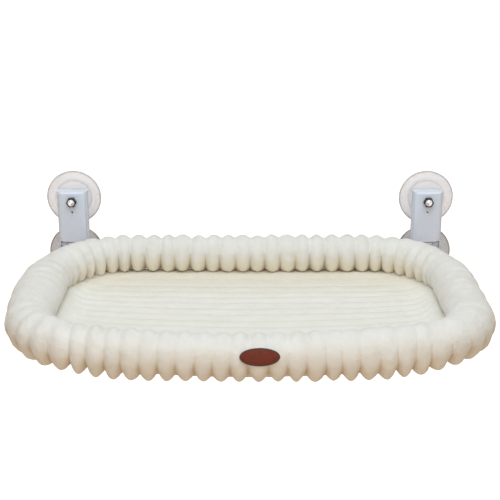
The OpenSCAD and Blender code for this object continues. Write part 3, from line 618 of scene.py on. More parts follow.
def weave_effect(tree, vector, threads_per_metre):
    """Plain weave of crossing threads, over UV lengths in metres."""
    split = tree.node("SeparateXYZ", {0: vector}).outputs
    turns = tree.times(threads_per_metre, math.pi)
    warp, weft = (tree.math("SINE", tree.times(split[axis], turns)) for axis in "XY")
    ridge = tree.math("MAXIMUM", tree.math("ABSOLUTE", warp), tree.math("ABSOLUTE", weft))
    height = tree.math("ADD", tree.times(tree.times(warp, weft), 0.5), ridge)
    return height, tree.noise(vector, 90.0, 3.0, 0.6)


def grain_effect(tree, vector, grains_per_metre):
    """Fine grain of a moulded or painted surface, with slow drifts of gloss."""
    return tree.noise(vector, grains_per_metre, 2.0, 0.6), tree.noise(vector, 55.0, 3.0, 0.6)


PILE = new_group("short_pile", "Tufts per metre", pile_effect)
WEAVE = new_group("plain_weave", "Threads per metre", weave_effect)
GRAIN = new_group("fine_grain", "Grains per metre", grain_effect)
FINE_BUMP = 0.0002


def plush(name, tip, root, crease, warm):
    """Cream pile, a little darker between the tufts, with painted shade in the sewn creases and painted warm
    bounce light where the glow attribute is set.
    """
    tree = new_material(name)
    height, shade = tree.effect(PILE, 950.0)
    body = tree.mix(tree.ramp(shade, 0.35, 0.62), root, tip)
    # The glow mix paints warm bounce light into the colour
    warmed = tree.mix(tree.attribute("glow"), body, warm)
    # The crease colour mixed in here is painted shade in the creases
    return tree.surface(tree.mix(tree.attribute("painted_shade"), warmed, crease), 0.95, height, 0.8, 0.0011,
                        Specular_IOR_Level=0.15, Sheen_Weight=0.35, Sheen_Roughness=0.45,
                        Sheen_Tint=(1.0, 0.98, 0.94))


def cloth(name, light, dark, threads):
    tree = new_material(name)
    height, shade = tree.effect(WEAVE, threads, "UV")
    return tree.surface(tree.mix(tree.ramp(shade, 0.3, 0.7), dark, light), 0.85, height, 0.5, 0.0003,
                        Specular_IOR_Level=0.25, Sheen_Weight=0.15)


def grained(name, light, dark, roughness, grains, bump=0.15, metallic=0.0, top=None):
    """Moulded plastic, paint or metal with its fine grain, with painted shade on the lit bevel at its top if
    a colour for it is given.
    """
    tree = new_material(name)
    height, shade = tree.effect(GRAIN, grains)
    drift = tree.ramp(shade, 0.3, 0.7)
    colour = tree.mix(drift, dark, light)
    if top:
        colour = tree.mix(tree.ramp(tree.along("Z"), *COVER_BEVEL_Z), colour, top)
    gloss = tree.ramp(drift, 0.0, 1.0, roughness * 0.85, roughness * 1.15)
    return tree.surface(colour, gloss, height, bump, FINE_BUMP, Metallic=metallic)


# Heights over which painted shade comes onto the cover's lit top bevel
COVER_BEVEL_Z = (0.0545, 0.0560)
CUP_X = TUBE_X
CUP_Z = 0.042
CUP_R = 0.040
CUP_STEP_R = 0.0262
CUP_BOSS_R = 0.0127


def from_cup_axis(tree):
    """Distance from the axis of the nearest of the four suction cups."""
    across = tree.math("SUBTRACT", tree.math("ABSOLUTE", tree.along("X")), CUP_X)
    up = tree.math("SUBTRACT", tree.math("ABSOLUTE", tree.along("Z")), CUP_Z)
    return tree.math("SQRT", tree.math("ADD", tree.times(across, across), tree.times(up, up)))


def clear_vinyl(name):
    """Soft see-through vinyl, faintly grey, with painted refraction shade at its rim and steps where it is
    thick, and painted shadow over the lower cups, whose rims are painted darker too.
    """
    tree = new_material(name)
    height, shade = tree.effect(GRAIN, 700.0)
    distance = from_cup_axis(tree)
    # lower picks the lower cups, for their painted shadow and darker painted rims
    lower = tree.ramp(tree.along("Z"), 0.02, -0.02)
    edge = tree.math("ADD", tree.times(lower, 0.45), 0.55)
    thick = []
    for radius, width, share in ((CUP_R - 0.0006, 0.0026, edge), (CUP_STEP_R, 0.0022, 0.25),
                                 (CUP_BOSS_R, 0.0018, 0.35)):
        off = tree.math("ABSOLUTE", tree.math("SUBTRACT", distance, radius))
        thick.append(tree.times(tree.ramp(off, width, 0.0), share))
    body = tree.mix(shade, (0.755, 0.765, 0.795), (0.83, 0.84, 0.87))
    # Painted shadow over the lower cups
    shaded = tree.mix(tree.times(lower, 0.75), body, (0.38, 0.385, 0.40))
    rim_refraction_shade = tree.math("MAXIMUM", thick[0], tree.math("MAXIMUM", thick[1], thick[2]))
    return tree.surface(tree.mix(rim_refraction_shade, shaded, (0.20, 0.20, 0.21)), 0.22, height, 0.05, FINE_BUMP,
                        Transmission_Weight=0.66, IOR=1.5)


def chromed_nut(name):
    """A chromed nut with painted dark reflection on its chamfer and sides and a painted highlight round the
    stud.
    """
    tree = new_material(name)
    height, shade = tree.effect(GRAIN, 1200.0)
    # Painted highlight round the stud, painted dark reflection outside it
    painted_highlight = tree.ramp(from_cup_axis(tree), 0.0052, 0.0046)
    colour = tree.mix(painted_highlight, (0.016, 0.016, 0.019), (0.62, 0.60, 0.58))
    return tree.surface(colour, tree.ramp(shade, 0.0, 1.0, 0.22, 0.40), height, 0.2, FINE_BUMP, Metallic=0.85)


def leather(name):
    """Pressed red-brown leather, greyer on its burnished edge."""
    tree = new_material(name)
    places = tree.places()
    cells = tree.node("TexVoronoi", {"Vector": places, "Scale": 900.0}, feature="DISTANCE_TO_EDGE")
    spots = tree.ramp(tree.noise(places, 260.0, 4.0, 0.6), 0.3, 0.7)
    body = tree.mix(spots, (0.118, 0.018, 0.008), (0.158, 0.028, 0.012))
    creases = tree.ramp(cells.outputs["Distance"], 0.0, 0.25)
    colour = tree.mix(tree.attribute("rim"), body, (0.088, 0.038, 0.031))
    return tree.surface(colour, 0.62, creases, 0.35, 0.00025, Specular_IOR_Level=0.22)


MATERIALS = {
    # Plush colours: tip, root, painted crease shade, and the painted warm bounce light of the glow attribute
    "plush": plush("cream_plush", (0.80, 0.79, 0.75), (0.745, 0.73, 0.67), (0.54, 0.42, 0.27),
                   (0.885, 0.825, 0.68)),
    # The mat's plush: the same plush painted lighter for light it lacks, its crease colour painted shade and
    # shadow
    "mat_plush": plush("mat_plush", (0.84, 0.83, 0.765), (0.80, 0.785, 0.705), (0.63, 0.54, 0.40),
                       (0.84, 0.80, 0.68)),
    "base_fabric": cloth("base_canvas", (0.70, 0.665, 0.585), (0.62, 0.585, 0.505), 1300.0),
    "zip_tape": cloth("zip_twill", (0.76, 0.73, 0.66), (0.69, 0.66, 0.59), 2200.0),
    "zip_teeth": grained("zip_nylon", (0.80, 0.78, 0.72), (0.74, 0.72, 0.66), 0.38, 1800.0),
    "zip_metal": grained("zip_plating", (0.66, 0.66, 0.67), (0.52, 0.52, 0.53), 0.28, 1500.0, 0.1, 1.0),
    "label_leather": leather("label_leather"),
    # top is painted shade on the cover's lit top bevel
    "cover_plastic": grained("cover_plastic", (0.765, 0.845, 0.98), (0.74, 0.815, 0.95), 0.6, 3200.0, 0.12,
                             top=(0.68, 0.715, 0.79)),
    "bracket_plastic": grained("bracket_plastic", (0.60, 0.655, 0.77), (0.57, 0.625, 0.74), 0.6, 2800.0,
                               0.18),
    "clear_pvc": clear_vinyl("clear_vinyl"),
    "stud_steel": grained("bright_zinc", (0.78, 0.78, 0.79), (0.62, 0.62, 0.64), 0.22, 900.0, 0.15, 1.0),
    "nut_steel": chromed_nut("chromed_nut"),
    "screw_steel": grained("screw_zinc", (0.50, 0.51, 0.53), (0.38, 0.39, 0.41), 0.34, 1100.0, 0.2, 1.0),
    "dark_screw": grained("black_screw", (0.006, 0.006, 0.007), (0.003, 0.003, 0.004), 0.6, 1400.0, 0.2),
    "frame_paint": grained("powder_coat", (0.80, 0.80, 0.78), (0.76, 0.76, 0.74), 0.4, 1600.0, 0.35),
    "elbow_plastic": grained("elbow_plastic", (0.72, 0.72, 0.70), (0.68, 0.68, 0.66), 0.48, 2600.0, 0.15),
    "thread": grained("sewing_thread", (0.74, 0.70, 0.61), (0.66, 0.62, 0.53), 0.7, 1500.0, 0.4),
    "brown_thread": grained("label_thread", (0.16, 0.065, 0.035), (0.10, 0.04, 0.02), 0.7, 1500.0, 0.4),
}


def dress(obj, material):
    obj.data.materials.clear()
    obj.data.materials.append(MATERIALS[material])


def finish_with(obj, slot, material=None):
    """Gives a piece its material, or the slot's when none is given, and lets it ride on the bed."""
    dress(obj, material or slot)
    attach(obj, "perch")


# Padded pieces

def make_front_roll():
    roll = ribbed_roll("bolster_front_cover", REAR_HALF_RIBS, 2 * HALF_RIBS - REAR_HALF_RIBS)
    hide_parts("bolster_front")


# Share of its thickness that each rib of the rear would keep when the bed folds up against the
# brackets, by its number from the middle: those before the brackets give way most. Nothing here
# folds the bed or uses these shares; these ribs are only made as stretches of their own
MIDDLE_RIBS = 9
MIDDLE_KEEP = 0.9
FOLD_KEEPS = {9: 0.65, 10: 0.42, 11: 0.26, 12: 0.26, 13: 0.38, 14: 0.68}


def make_rear_roll():
    stretches = [("bolster_rear_cover", -MIDDLE_RIBS, MIDDLE_RIBS, MIDDLE_KEEP)]
    for rib, keep in FOLD_KEEPS.items():
        stretches.append((f"bolster_rear_right_{rib}", rib, rib + 1, keep))
        stretches.append((f"bolster_rear_left_{rib}", -rib - 1, -rib, keep))
    for name, first, last, keep in stretches:
        roll = ribbed_roll(name, first, last, rear=True)
        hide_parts("bolster_rear")
        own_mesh(roll)


MAT_INSET = 0.0102
MAT_REAR_Y = -0.0815
MAT_FLOOR = -0.066
MAT_TOP = -0.0522
MAT_LIP = 0.0116
MAT_LIP_W = 0.030
MAT_REAR_LIP = 0.52
MAT_CHANNEL = 0.0012
MAT_COLUMNS = 96
MAT_STEPS = 8
MAT_SWAY = 0.0012
MAT_WAVES = 0.0012
MAT_LUMPS = 0.0007
MAT_WRINKLES = 0.0011
MAT_RIB_POWER = 2.4
MAT_LIP_POWER = 1.7
MAT_PRESSURE = 2.0
MAT_SWELL = 0.0012
# Painted shade in the mat's sewn lines, and a painted shadow along the rear roll, fading over a distance
LINE_SHADE = 0.13
REAR_SHADE = 0.62
REAR_SHADE_W = 0.085
TUCK_ROWS = (-0.0665, -0.0712, -0.0765, -0.0812)
FRONT_TUCKS = (0.0099, 0.0058, 0.0017)
FRONT_TUCK_TOP = -0.0445
FRONT_TUCK_FLOOR = -0.0478
FRONT_RISE_W = 0.018
TUCK_TOP = -0.0461
TUCK_FLOOR = -0.0520
TUCK_SINK_W = 0.035
SIDE_TUCK = 0.0076
SIDE_TUCK_TOP = -0.0431
SIDE_TUCK_FLOOR = -0.0493


def roll_gap(x, y):
    """How far inside the place where the mat meets the roll's sides a point lies."""
    reach = SIDE_X - abs(x)
    if abs(x) > REAR_CX and y > REAR_CY:
        reach = REAR_CORNER_R - math.hypot(abs(x) - REAR_CX, y - REAR_CY)
    elif y > REAR_CY:
        reach = REAR_CORNER_R - (y - REAR_CY)
    return reach - FRAME_INSET - MAT_INSET


def eased_tuck(y, side, rear):
    """A height of the mat's tucked side edge, which sinks towards the rear corner."""
    return side + (rear - side) * clip((y - REAR_CY) / TUCK_SINK_W)


def mat_rise(row, rows, x, y):
    """Height of the mat's top at a row, and the share of a sewn valley in it."""
    if abs(x) > TUBE_X - MAT_INSET - 0.0001:
        return eased_tuck(y, SIDE_TUCK_TOP, TUCK_TOP), 1.0
    t = (row / MAT_STEPS) % 1.0
    valley = 0.0 if row in (0, rows) else abs(2 * t - 1) ** MAT_RIB_POWER
    lip = clip(1 - roll_gap(x, y) / MAT_LIP_W)
    calm = max(0.0, (y - REAR_CY) / REAR_CORNER_R)
    from_front = (rows - row) / MAT_STEPS * RIB_PITCH
    top = MAT_TOP + MAT_LIP * lip ** MAT_LIP_POWER * max(MAT_REAR_LIP, 1 - 1.6 * calm)
    top += (FRONT_TUCK_TOP - top) * max(0.0, 1 - from_front / FRONT_RISE_W) ** 1.5
    return top - MAT_CHANNEL * valley * (1 - lip), valley * (1 - lip)


def wrinkle(x, y):
    """Soft folds that run slantwise over the mat."""
    slant = noise.noise(Vector((x * 9 + y * 14, (y - x * 0.35) * 44, 2)))
    return MAT_WRINKLES * slant * (0.4 + 0.6 * abs(noise.noise(Vector((x * 5, y * 5, 6)))))


def make_mat():
    ribs = round((MAT_REAR_Y - front_edge_y(0, MAT_INSET)) / RIB_PITCH)
    rows = ribs * MAT_STEPS
    half = TUBE_X - MAT_INSET
    width = MAT_COLUMNS + 1
    sway = [stray(MAT_SWAY) for _ in range(ribs + 1)]
    spots = [(Vector(((-1 + 2 * k / MAT_COLUMNS) * half, y, TUCK_TOP)), 1.0, TUCK_FLOOR)
             for y in TUCK_ROWS for k in range(width)]
    for row in range(rows + 1):
        for k in range(width):
            share = -1 + 2 * k / MAT_COLUMNS
            share = math.copysign(1 - (1 - abs(share)) ** 1.25, share)
            y = MAT_REAR_Y + row / rows * (front_edge_y(share * half, MAT_INSET) - MAT_REAR_Y)
            z, valley = mat_rise(row, rows, share * half, y)
            line = row // MAT_STEPS
            t = row / MAT_STEPS - line
            swayed = sway[line] * (1 - t) + sway[min(line + 1, ribs)] * t
            wave = noise.noise(Vector((share * 3, row / MAT_STEPS * 0.7, 4))) * MAT_WAVES
            y += (swayed * math.sin(share * 4 + line) + wave) * (1 - abs(2 * row / rows - 1) ** 8)
            x = share * half
            floor = MAT_FLOOR
            if abs(share) < 1:
                z += noise.noise(Vector((share * 4, y * 14, 9))) * MAT_LUMPS
                z += wrinkle(x, y) * (1 - abs(share) ** 6)
            else:
                x += SIDE_TUCK * share
                floor = eased_tuck(y, SIDE_TUCK_FLOOR, TUCK_FLOOR)
            spots.append((Vector((x, y, z)), valley, floor))
    edge = [place for place, _, _ in spots[-width:]]
    for inset in FRONT_TUCKS:
        for p in edge:
            y = front_edge_y(math.copysign(min(abs(p.x), half), p.x), inset)
            spots.append((Vector((p.x, y, FRONT_TUCK_TOP)), 1.0, FRONT_TUCK_FLOOR))
    tops, valleys, floors = zip(*spots)
    lows = [Vector((p.x, p.y, z)) for p, z in zip(tops, floors)]
    rows += len(TUCK_ROWS) + len(FRONT_TUCKS)
    low = len(tops)
    faces = []
    for row in range(rows):
        for k in range(MAT_COLUMNS):
            a = row * width + k
            quad = (a, a + 1, a + width + 1, a + width)
            faces += [(a + 1, a, a + width, a + width + 1), tuple(low + i for i in quad)]
    for row in range(rows):
        a = row * width
        b = a + MAT_COLUMNS
        faces += [(a, low + a, low + a + width, a + width), (b, b + width, low + b + width, low + b)]
    for k in range(MAT_COLUMNS):
        a = rows * width + k
        faces += [(k, k + 1, low + k + 1, low + k), (a + 1, a, low + a, low + a + 1)]
    mat = mesh_piece("mat_cover", [*tops, *lows], faces)
    valley = [*valleys] + [1.0] * low
    held = []
    for i, value in enumerate(valley):
        at_edge = i % width in (0, MAT_COLUMNS) or (i % low) // width in (0, rows)
        held.append(1.0 if at_edge or value > 0.6 else 0.2 * value)
    inflate(mat, held, MAT_PRESSURE, MAT_SWELL)
    # Painted crease shade in the sewn lines and a painted shadow along the rear roll
    shaded = [max(LINE_SHADE * value, REAR_SHADE * max(0.0, 1 - (MAT_REAR_Y - p.y) / REAR_SHADE_W))
              for p, value in zip(tops, valleys)]
    set_attribute(mat, "valley", valley)
    set_attribute(mat, "painted_shade", shaded + [0.0] * low)
    fluff(mat)
    finish_with(mat, "mat_plush")
    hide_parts("mat")


# Sewn details

STITCH_SIDES = 6
STITCH_LIFT = 0.2
UP = Vector((0, 0, 1))
ALONG = Vector((1, 0, 0))


def bevelled(offset):
    """The new active object with its size applied and its edges bevelled."""
    made = bpy.context.active_object
    bpy.ops.object.transform_apply(location=True, rotation=True, scale=True)
    edit_whole((bpy.ops.mesh.bevel, {"offset": offset, "segments": 1}))
    return made


def model_stitch(length, thick):
    """One stitch along X, its ends bevelled so that they dip into the cloth."""
    deselect()
    bpy.ops.mesh.primitive_cylinder_add(vertices=STITCH_SIDES, radius=thick / 2, depth=length,
                                        rotation=(0, math.pi / 2, 0))
    return bevelled(thick * 0.3)


def model_block(size, bevel):
    deselect()
    bpy.ops.mesh.primitive_cube_add(size=1, scale=size)
    return bevelled(bevel)


def copies(name, model, places):
    """One mesh of copies of a model. Each place has a middle and the directions along X and Z."""
    points = []
    faces = []
    for middle, along, up in places:
        side = up.cross(along).normalized()
        base = len(points)
        for v in model.data.vertices:
            points.append(middle + along * v.co.x + side * v.co.y + up * v.co.z)
        for face in model.data.polygons:
            faces.append([base + i for i in face.vertices])
    bpy.data.objects.remove(model)
    return mesh_piece(name, points, faces)


def walk(path, pitch):
    """Even steps along a path, as places with their directions."""
    steps = []
    reach = pitch / 2
    for first, last in zip(path, path[1:]):
        run = last - first
        while reach <= run.length:
            steps.append((first + run * (reach / run.length), run.normalized()))
            reach += pitch
        reach -= run.length
    return steps


def stitch_row(name, paths, slot, thread, pitch, length, thick, up=lambda place: -UP):
    """Rows of stitches that lie on a surface whose normal is up(place)."""
    places = []
    for path in paths:
        for place, along in walk(path, pitch):
            normal = up(place)
            places.append((place + normal * (thick * STITCH_LIFT), along, normal))
    row = copies(name, model_stitch(length, thick), places)
    smooth(row)
    finish_with(row, slot, thread)
    return row


def sewn_sheet(name, points, faces, places, thickness, slot="base_fabric", angle=40, closed=False):
    """A sheet as thick as its cloth, with its UV lengths. A closed one is joined to a tube."""
    sheet = mesh_piece(name, points, faces)
    give_uv(sheet, places)
    if closed:
        pick(sheet)
        edit_whole((bpy.ops.mesh.remove_doubles, {"threshold": 0.00001}),
                   (bpy.ops.mesh.normals_make_consistent, {"inside": False}))
    apply_modifier(sheet, "SOLIDIFY", thickness=thickness, offset=0.0)
    smooth(sheet, angle)
    finish_with(sheet, slot)
    return sheet


# Base cloth, its hem and sleeves

BASE_INSET = 0.0055
BASE_REAR_Y = -0.0775
BASE_Z = -0.0670
BASE_T = 0.0009
BASE_COLUMNS = 80
BASE_ROWS = 60
HEM_W = 0.013
HEM_T = 0.0006
HEM_ROWS = (0.0, 0.12, 0.5, 0.88, 1.0)
SIDE_STEPS = 10
CORNER_STEPS = 20
FRONT_STEPS = 30
# Pitch, length and thickness of the stitches
HEM_STITCH = (0.0042, 0.0034, 0.0007)
SLEEVE_MID_R = 0.0093
SLEEVE_T = 0.0008
SLEEVE_SIDES = 28
SIDE_SLEEVE_STEPS = 22
LONG_SLEEVE_STEPS = 90
SIDE_SLEEVE_REAR_Y = REAR_CY - 0.008
SIDE_SLEEVE_FRONT_Y = SIDE_SLEEVE_REAR_Y - (REAR_CY - CORNER_CY) / 2 + 0.008
REAR_SLEEVE_HALF = 0.2184
FRONT_SLEEVE_SHARE = 0.72


def on_bow(r, a, z):
    """A place on a bow round the middle of the frame's, at the angle a from the front."""
    return Vector((r * math.sin(a), BOW_CY - r * math.cos(a), z))


def base_outline(inset, z):
    """The base cloth's outline from its rear right corner round the front, inset from the tubes."""
    half = TUBE_X - inset
    rear = BASE_REAR_Y - (inset - BASE_INSET)
    right = [Vector((half, rear + (ELBOW_CY - rear) * i / SIDE_STEPS, z)) for i in range(SIDE_STEPS)]
    for i in range(CORNER_STEPS):
        a = -i / CORNER_STEPS * (math.pi / 2 - ELBOW_ANGLE)
        right.append(Vector((CORNER_CX + (ELBOW_R - inset) * math.cos(a),
                             ELBOW_CY + (ELBOW_R - inset) * math.sin(a), z)))
    right += [on_bow(FRAME_BOW_R - inset, ELBOW_ANGLE * (1 - i / FRONT_STEPS), z)
              for i in range(FRONT_STEPS + 1)]
    return right + [Vector((-p.x, p.y, z)) for p in reversed(right[:-1])]


def make_base_cloth():
    half = TUBE_X - BASE_INSET
    points = []
    for row in range(BASE_ROWS + 1):
        for k in range(BASE_COLUMNS + 1):
            x = half * (-1 + 2 * k / BASE_COLUMNS)
            front = front_edge_y(x, BASE_INSET)
            y = BASE_REAR_Y + row / BASE_ROWS * (front - BASE_REAR_Y)
            edge = min(half - abs(x), y - front, BASE_REAR_Y - y)
            pucker = math.sin((x + y) / 0.0036) * 0.00022 * math.exp(-edge / 0.018)
            slack = noise.noise(Vector((x * 11, y * 14, 3))) * 0.00022
            points.append(Vector((x, y, BASE_Z + pucker + slack)))
    faces = grid_faces(BASE_COLUMNS, BASE_ROWS)
    panel = sewn_sheet("base_cloth", points, faces, [p.xy for p in points], BASE_T)
    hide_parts("base_panel")
    return panel


def make_hem():
    """A turned-in band round the base cloth, under it."""
    z = BASE_Z - BASE_T / 2 - HEM_T / 2
    outer = base_outline(BASE_INSET, z)
    inner = base_outline(BASE_INSET + HEM_W, z)
    points = []
    places = []
    for share in HEM_ROWS:
        for i, (a, b) in enumerate(zip(outer, inner)):
            place = a.lerp(b, share)
            lift = 0.0002 * abs(2 * share - 1) ** 3 + noise.noise(place * 160) * 0.00012
            points.append(place + Vector((0, 0, lift)))
            places.append((share * HEM_W, i * 0.012))
    return sewn_sheet("base_hem", points, tube_faces(len(HEM_ROWS) - 1, len(outer)), places, HEM_T)


def make_hem_stitches():
    z = BASE_Z - BASE_T / 2 - HEM_T
    paths = [base_outline(BASE_INSET + inside, z) for inside in (0.0024, HEM_W - 0.0020)]
    paths = [path + path[:1] for path in paths]
    return stitch_row("hem_stitches", paths, "base_fabric", "thread", *HEM_STITCH)


def make_sleeve(name, path, radius=SLEEVE_MID_R):
    """Cloth sewn round a frame tube. path is its middle, from end to end."""
    count = len(path)
    points = []
    places = []
    run = 0.0
    for i, middle in enumerate(path):
        ahead = path[min(i + 1, count - 1)] - path[max(i - 1, 0)]
        side = ahead.normalized().cross(UP)
        if i:
            run += (middle - path[i - 1]).length
        for k in range(SLEEVE_SIDES + 1):
            a = 2 * math.pi * k / SLEEVE_SIDES
            folds = noise.noise(Vector((run * 55, math.cos(a) * 1.6, math.sin(a) * 1.6 + radius * 900)))
            r = radius + folds * 0.00035
            points.append(middle + side * (r * math.cos(a)) + Vector((0, 0, r * math.sin(a))))
            places.append((run, a * radius))
    faces = grid_faces(SLEEVE_SIDES, count - 1)
    return sewn_sheet(name, points, faces, places, SLEEVE_T, angle=50, closed=True)


def make_sleeves():
    run = SIDE_SLEEVE_FRONT_Y - SIDE_SLEEVE_REAR_Y
    sleeves = []
    for name, sign in (("right_sleeve", 1), ("left_sleeve", -1)):
        sleeves.append(make_sleeve(name, [
            Vector((sign * TUBE_X, SIDE_SLEEVE_REAR_Y + run * i / SIDE_SLEEVE_STEPS, TUBE_Z))
            for i in range(SIDE_SLEEVE_STEPS + 1)]))
    shares = [-1 + 2 * i / LONG_SLEEVE_STEPS for i in range(LONG_SLEEVE_STEPS + 1)]
    rear = [Vector((REAR_SLEEVE_HALF * share, CROSSBAR_Y, CROSSBAR_Z)) for share in shares]
    front = [on_bow(FRAME_BOW_R, ELBOW_ANGLE * FRONT_SLEEVE_SHARE * share, TUBE_Z) for share in shares]
    sleeves.append(make_sleeve("rear_sleeve", rear, SLEEVE_MID_R - TUBE_R + CROSSBAR_R))
    sleeves.append(make_sleeve("front_sleeve", front))
    return sleeves


# Zip

ZIP_HALF = 0.170
ZIP_Y = CROSSBAR_Y - 0.050
ZIP_HALF_W = 0.014
ZIP_SLIT = 0.0016
ZIP_TAPE_Z = -0.0681
ZIP_TAPE_T = 0.0006
TAPE_COLUMNS = 130
TAPE_ROWS = 5
TOOTH_SIZE = (0.0011, 0.0030, 0.0012)
TOOTH_PITCH = 0.0022
TOOTH_OFF = 0.0009
TOOTH_Z = -0.0690
STOP_SIZE = (0.0032, 0.0050, 0.0016)
ZIP_SEAMS = (0.0085, 0.0125)
ZIP_STITCH = (0.0032, 0.0026, 0.0006)
SIDES = (-1, 1)


def make_zip():
    pieces = []
    for name, sign in (("front_zip_tape", -1), ("rear_zip_tape", 1)):
        points = []
        for r in range(TAPE_ROWS + 1):
            for k in range(TAPE_COLUMNS + 1):
                x = ZIP_HALF * (-1 + 2 * k / TAPE_COLUMNS)
                across = ZIP_SLIT + (ZIP_HALF_W - ZIP_SLIT) * r / TAPE_ROWS
                wave = noise.noise(Vector((x * 45, sign * 3, across * 60))) * 0.00014
                points.append(Vector((x, ZIP_Y + sign * across, ZIP_TAPE_Z + wave)))
        faces = grid_faces(TAPE_COLUMNS, TAPE_ROWS)
        pieces.append(sewn_sheet(name, points, faces, [p.xy for p in points], ZIP_TAPE_T, "zip_tape"))
    teeth = [(-ZIP_HALF + (i + 0.5 + side * 0.25) * TOOTH_PITCH, ZIP_Y + side * TOOTH_OFF)
             for i in range(round(2 * ZIP_HALF / TOOTH_PITCH)) for side in SIDES]
    stops = [(side * (ZIP_HALF - 0.001), ZIP_Y) for side in SIDES]
    for name, size, bevel, spots in (("zip_teeth", TOOTH_SIZE, 0.0003, teeth),
                                     ("zip_stops", STOP_SIZE, 0.0004, stops)):
        places = [(Vector((x, y, TOOTH_Z)), ALONG, UP) for x, y in spots]
        blocks = copies(name, model_block(size, bevel), places)
        smooth(blocks, 40)
        finish_with(blocks, "zip_tape", "zip_teeth")
        pieces.append(blocks)
    z = ZIP_TAPE_Z - ZIP_TAPE_T / 2
    ends = [((-ZIP_HALF, side * across), (ZIP_HALF, side * across)) for side in SIDES for across in ZIP_SEAMS]
    ends += [((side * (ZIP_HALF - 0.003), sign * 0.004), (side * (ZIP_HALF - 0.003), sign * ZIP_HALF_W))
             for side in SIDES for sign in SIDES]
    paths = [[Vector((x, ZIP_Y + across, z)) for x, across in pair] for pair in ends]
    pieces.append(stitch_row("zip_stitches", paths, "zip_tape", "thread", *ZIP_STITCH))
    for piece in pieces:
        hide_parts("zip_tape")
    return pieces


# Leather label

LABEL_W = 0.046
LABEL_H = 0.0205
LABEL_X = 0.011
LABEL_TILT = 24
LABEL_SEAT = ROLL_R + 0.0003
LABEL_T = 0.0018
LABEL_SINK = 0.0016
LABEL_POINTS = 96
LABEL_GROOVE = 0.0018
LABEL_STITCH = (0.0023, 0.0017, 0.0005)
# Rings of the label from its rim inwards: how far inside its outline, their share of the
# size that is left, their share of the thickness, and how much they are of the rim
LABEL_RINGS = ((0.0, 1.0, -LABEL_SINK / LABEL_T, 1), (0.0, 1.0, 0.42, 1), (0.0002, 1.0, 0.78, 1),
               (0.0005, 1.0, 0.96, 1), (0.0010, 1.0, 1.0, 1), (0.0014, 1.0, 0.97, 0.9),
               (LABEL_GROOVE, 1.0, 0.84, 0.5), (0.0021, 1.0, 0.93, 0.1),
               *((0.0026, share, height, 0) for share, height in (
                   (1.0, 1.03), (0.85, 1.07), (0.65, 1.10), (0.45, 1.12), (0.25, 1.13), (0.10, 1.13))))


def on_roll_front(across, up, height):
    """A place on the front of the roll, from the label's middle."""
    a = math.radians(LABEL_TILT) + up / LABEL_SEAT
    x = LABEL_X + across
    r = LABEL_SEAT + height
    return Vector((x, bow_y(x) - r * math.cos(a), ROLL_Z + r * math.sin(a)))


def on_oval(inside, share, a, height):
    """A place on an oval inside the label's outline, at an angle round it."""
    return on_roll_front((LABEL_W / 2 - inside) * share * math.cos(a),
                         (LABEL_H / 2 - inside) * share * math.sin(a), height)


def label_normal(place):
    return Vector((0, place.y - bow_y(place.x), place.z - ROLL_Z)).normalized()


def make_label():
    n = LABEL_POINTS
    angles = [2 * math.pi * i / n for i in range(n + 1)]
    points = []
    rim = []
    for inside, share, height, edge in LABEL_RINGS:
        for a in angles[:-1]:
            wear = noise.noise(Vector((math.cos(a) * 4, math.sin(a) * 4, share * 5))) * 0.00008
            points.append(on_oval(inside, share, a, LABEL_T * height + wear))
            rim.append(edge)
    middle = len(points)
    points += [on_roll_front(0, 0, LABEL_T * LABEL_RINGS[-1][2]), on_roll_front(0, 0, -LABEL_SINK)]
    rim += [0.0, 1.0]
    faces = tube_faces(len(LABEL_RINGS) - 1, n)
    last = (len(LABEL_RINGS) - 1) * n
    for i in range(n):
        faces += [(last + i, last + (i + 1) % n, middle), ((i + 1) % n, i, middle + 1)]
    label = mesh_piece("leather_patch", points, faces)
    set_attribute(label, "rim", rim)
    smooth(label, 60)
    finish_with(label, "label_leather")
    groove = [on_oval(LABEL_GROOVE, 1, a, LABEL_T * 0.86) for a in angles]
    row = stitch_row("label_stitches", [groove], "label_leather", "brown_thread", *LABEL_STITCH, label_normal)
    for piece in (label, row):
        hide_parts("leather_label")


# Camera, light and floor

LIT_PLACE = Vector((0.0, -0.25, 0.0))
# Place, size, power and colour
LAMPS = {
    "overhead": ((0.0, -0.61, 1.66), (2.0, 1.6), 28.7, (0.81, 0.91, 1.0)),
    "front_fill": ((0.0, -2.2, 0.75), (2.2, 1.0), 6.7, (1.0, 0.97, 0.87)),
    "low_fill": ((0.0, -1.5, -0.45), (2.0, 0.5), 4.0, (1.0, 0.825, 0.665)),
}
WORLD_GLOW = (1.0, 0.885, 0.775)
WORLD_POWER = 0.37
FLOOR_Z = -0.62
FLOOR_HALF = 6.0


def make_camera():
    data = put(bpy.data.cameras.new("camera"), sensor_width=SENSOR_W)
    data.lens = SENSOR_W * FOCAL_PIXELS / PHOTO_PIXELS
    camera = new_object("camera", data)
    camera.location = CAMERA_PLACE
    camera.rotation_euler = (math.radians(90 - CAMERA_TILT), 0, 0)
    bpy.context.scene.camera = camera


def mix_by_ray(tree, lighting, seen):
    """One shader for the light on things, another for what is seen, also mirrored and through the cups."""
    rays = tree.node("LightPath").outputs
    bent = tree.math("MAXIMUM", rays["Is Glossy Ray"], rays["Is Transmission Ray"])
    share = tree.math("MAXIMUM", rays["Is Camera Ray"], bent)
    return {"Surface": tree.node("MixShader", {0: share, 1: lighting, 2: seen}).outputs[0]}


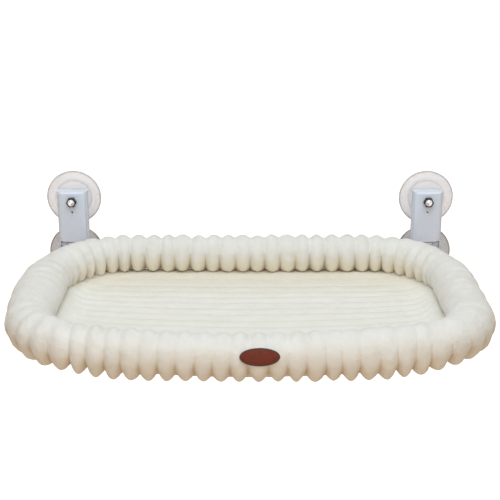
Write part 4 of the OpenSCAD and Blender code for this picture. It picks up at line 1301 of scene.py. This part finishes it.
def make_light():
    for name, (place, size, power, colour) in LAMPS.items():
        data = bpy.data.lights.new(name, "AREA")
        put(data, shape="RECTANGLE", size=size[0], size_y=size[1], energy=power, color=colour)
        turn = (LIT_PLACE - Vector(place)).to_track_quat("-Z", "Y").to_euler()
        put(new_object(name, data), location=place, rotation_euler=turn)
    world = bpy.data.worlds.new("studio")
    world.use_nodes = True
    world.node_tree.nodes.clear()
    tree = Tree(world.node_tree)
    soft = tree.node("Background", {"Color": WORLD_GLOW, "Strength": WORLD_POWER})
    white = tree.node("Background", {"Color": (1.0, 1.0, 1.0), "Strength": 1.0})
    tree.node("OutputWorld", mix_by_ray(tree, soft.outputs[0], white.outputs[0]))
    bpy.context.scene.world = world
    bpy.context.scene.view_settings.view_transform = "Standard"


def make_floor():
    h = FLOOR_HALF
    floor = mesh_piece("floor", [(-h, -h, FLOOR_Z), (h, -h, FLOOR_Z), (h, h, FLOOR_Z), (-h, h, FLOOR_Z)],
                       [(0, 1, 2, 3)])
    tree = new_material("pale_floor")
    nodes = tree.tree.nodes
    plain = tree.feed(nodes["Principled BSDF"], {
        "Base Color": (0.66, 0.50, 0.35), "Roughness": 0.9, "Specular IOR Level": 0.1}).outputs[0]
    glow = tree.node("Emission", {"Strength": 1.0})
    lifted = tree.node("AddShader", {0: plain, 1: glow.outputs[0]})
    tree.feed(nodes["Material Output"], mix_by_ray(tree, plain, lifted.outputs[0]))
    floor.data.materials.append(tree.material)


# Pieces that keep their CAD shape, by their material: those of each bracket, and single ones

BRACKET_NODES = {
    "bracket_plastic": "back_shell arm", "cover_plastic": "front_cover", "dark_screw": "cover_screws",
    "screw_steel": "pivot_pin pin_clip arm_screw lower_washer", "clear_pvc": "upper_cup lower_cup",
    "stud_steel": "upper_stud lower_stud", "nut_steel": "upper_nut lower_nut",
}
SINGLE_NODES = {
    "frame_paint": "frame_front_tube frame_left_tube frame_right_tube rear_crossbar",
    "elbow_plastic": "frame_left_elbow frame_right_elbow", "zip_metal": "zip_slider zip_pull",
    "screw_steel": "frame_joint_screws crossbar_screws",
}


def dress_cad_nodes():
    for sides, nodes in ((("left_", "right_"), BRACKET_NODES), (("",), SINGLE_NODES)):
        for material, names in nodes.items():
            for name in names.split():
                for side in sides:
                    dress(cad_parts[side + name], material)


make_camera()
make_light()
make_floor()
dress_cad_nodes()
make_front_roll()
make_rear_roll()
make_mat()
make_label()
base_cloth = make_base_cloth()
sewn_on = [make_hem(), make_hem_stitches(), *make_sleeves(), *make_zip()]
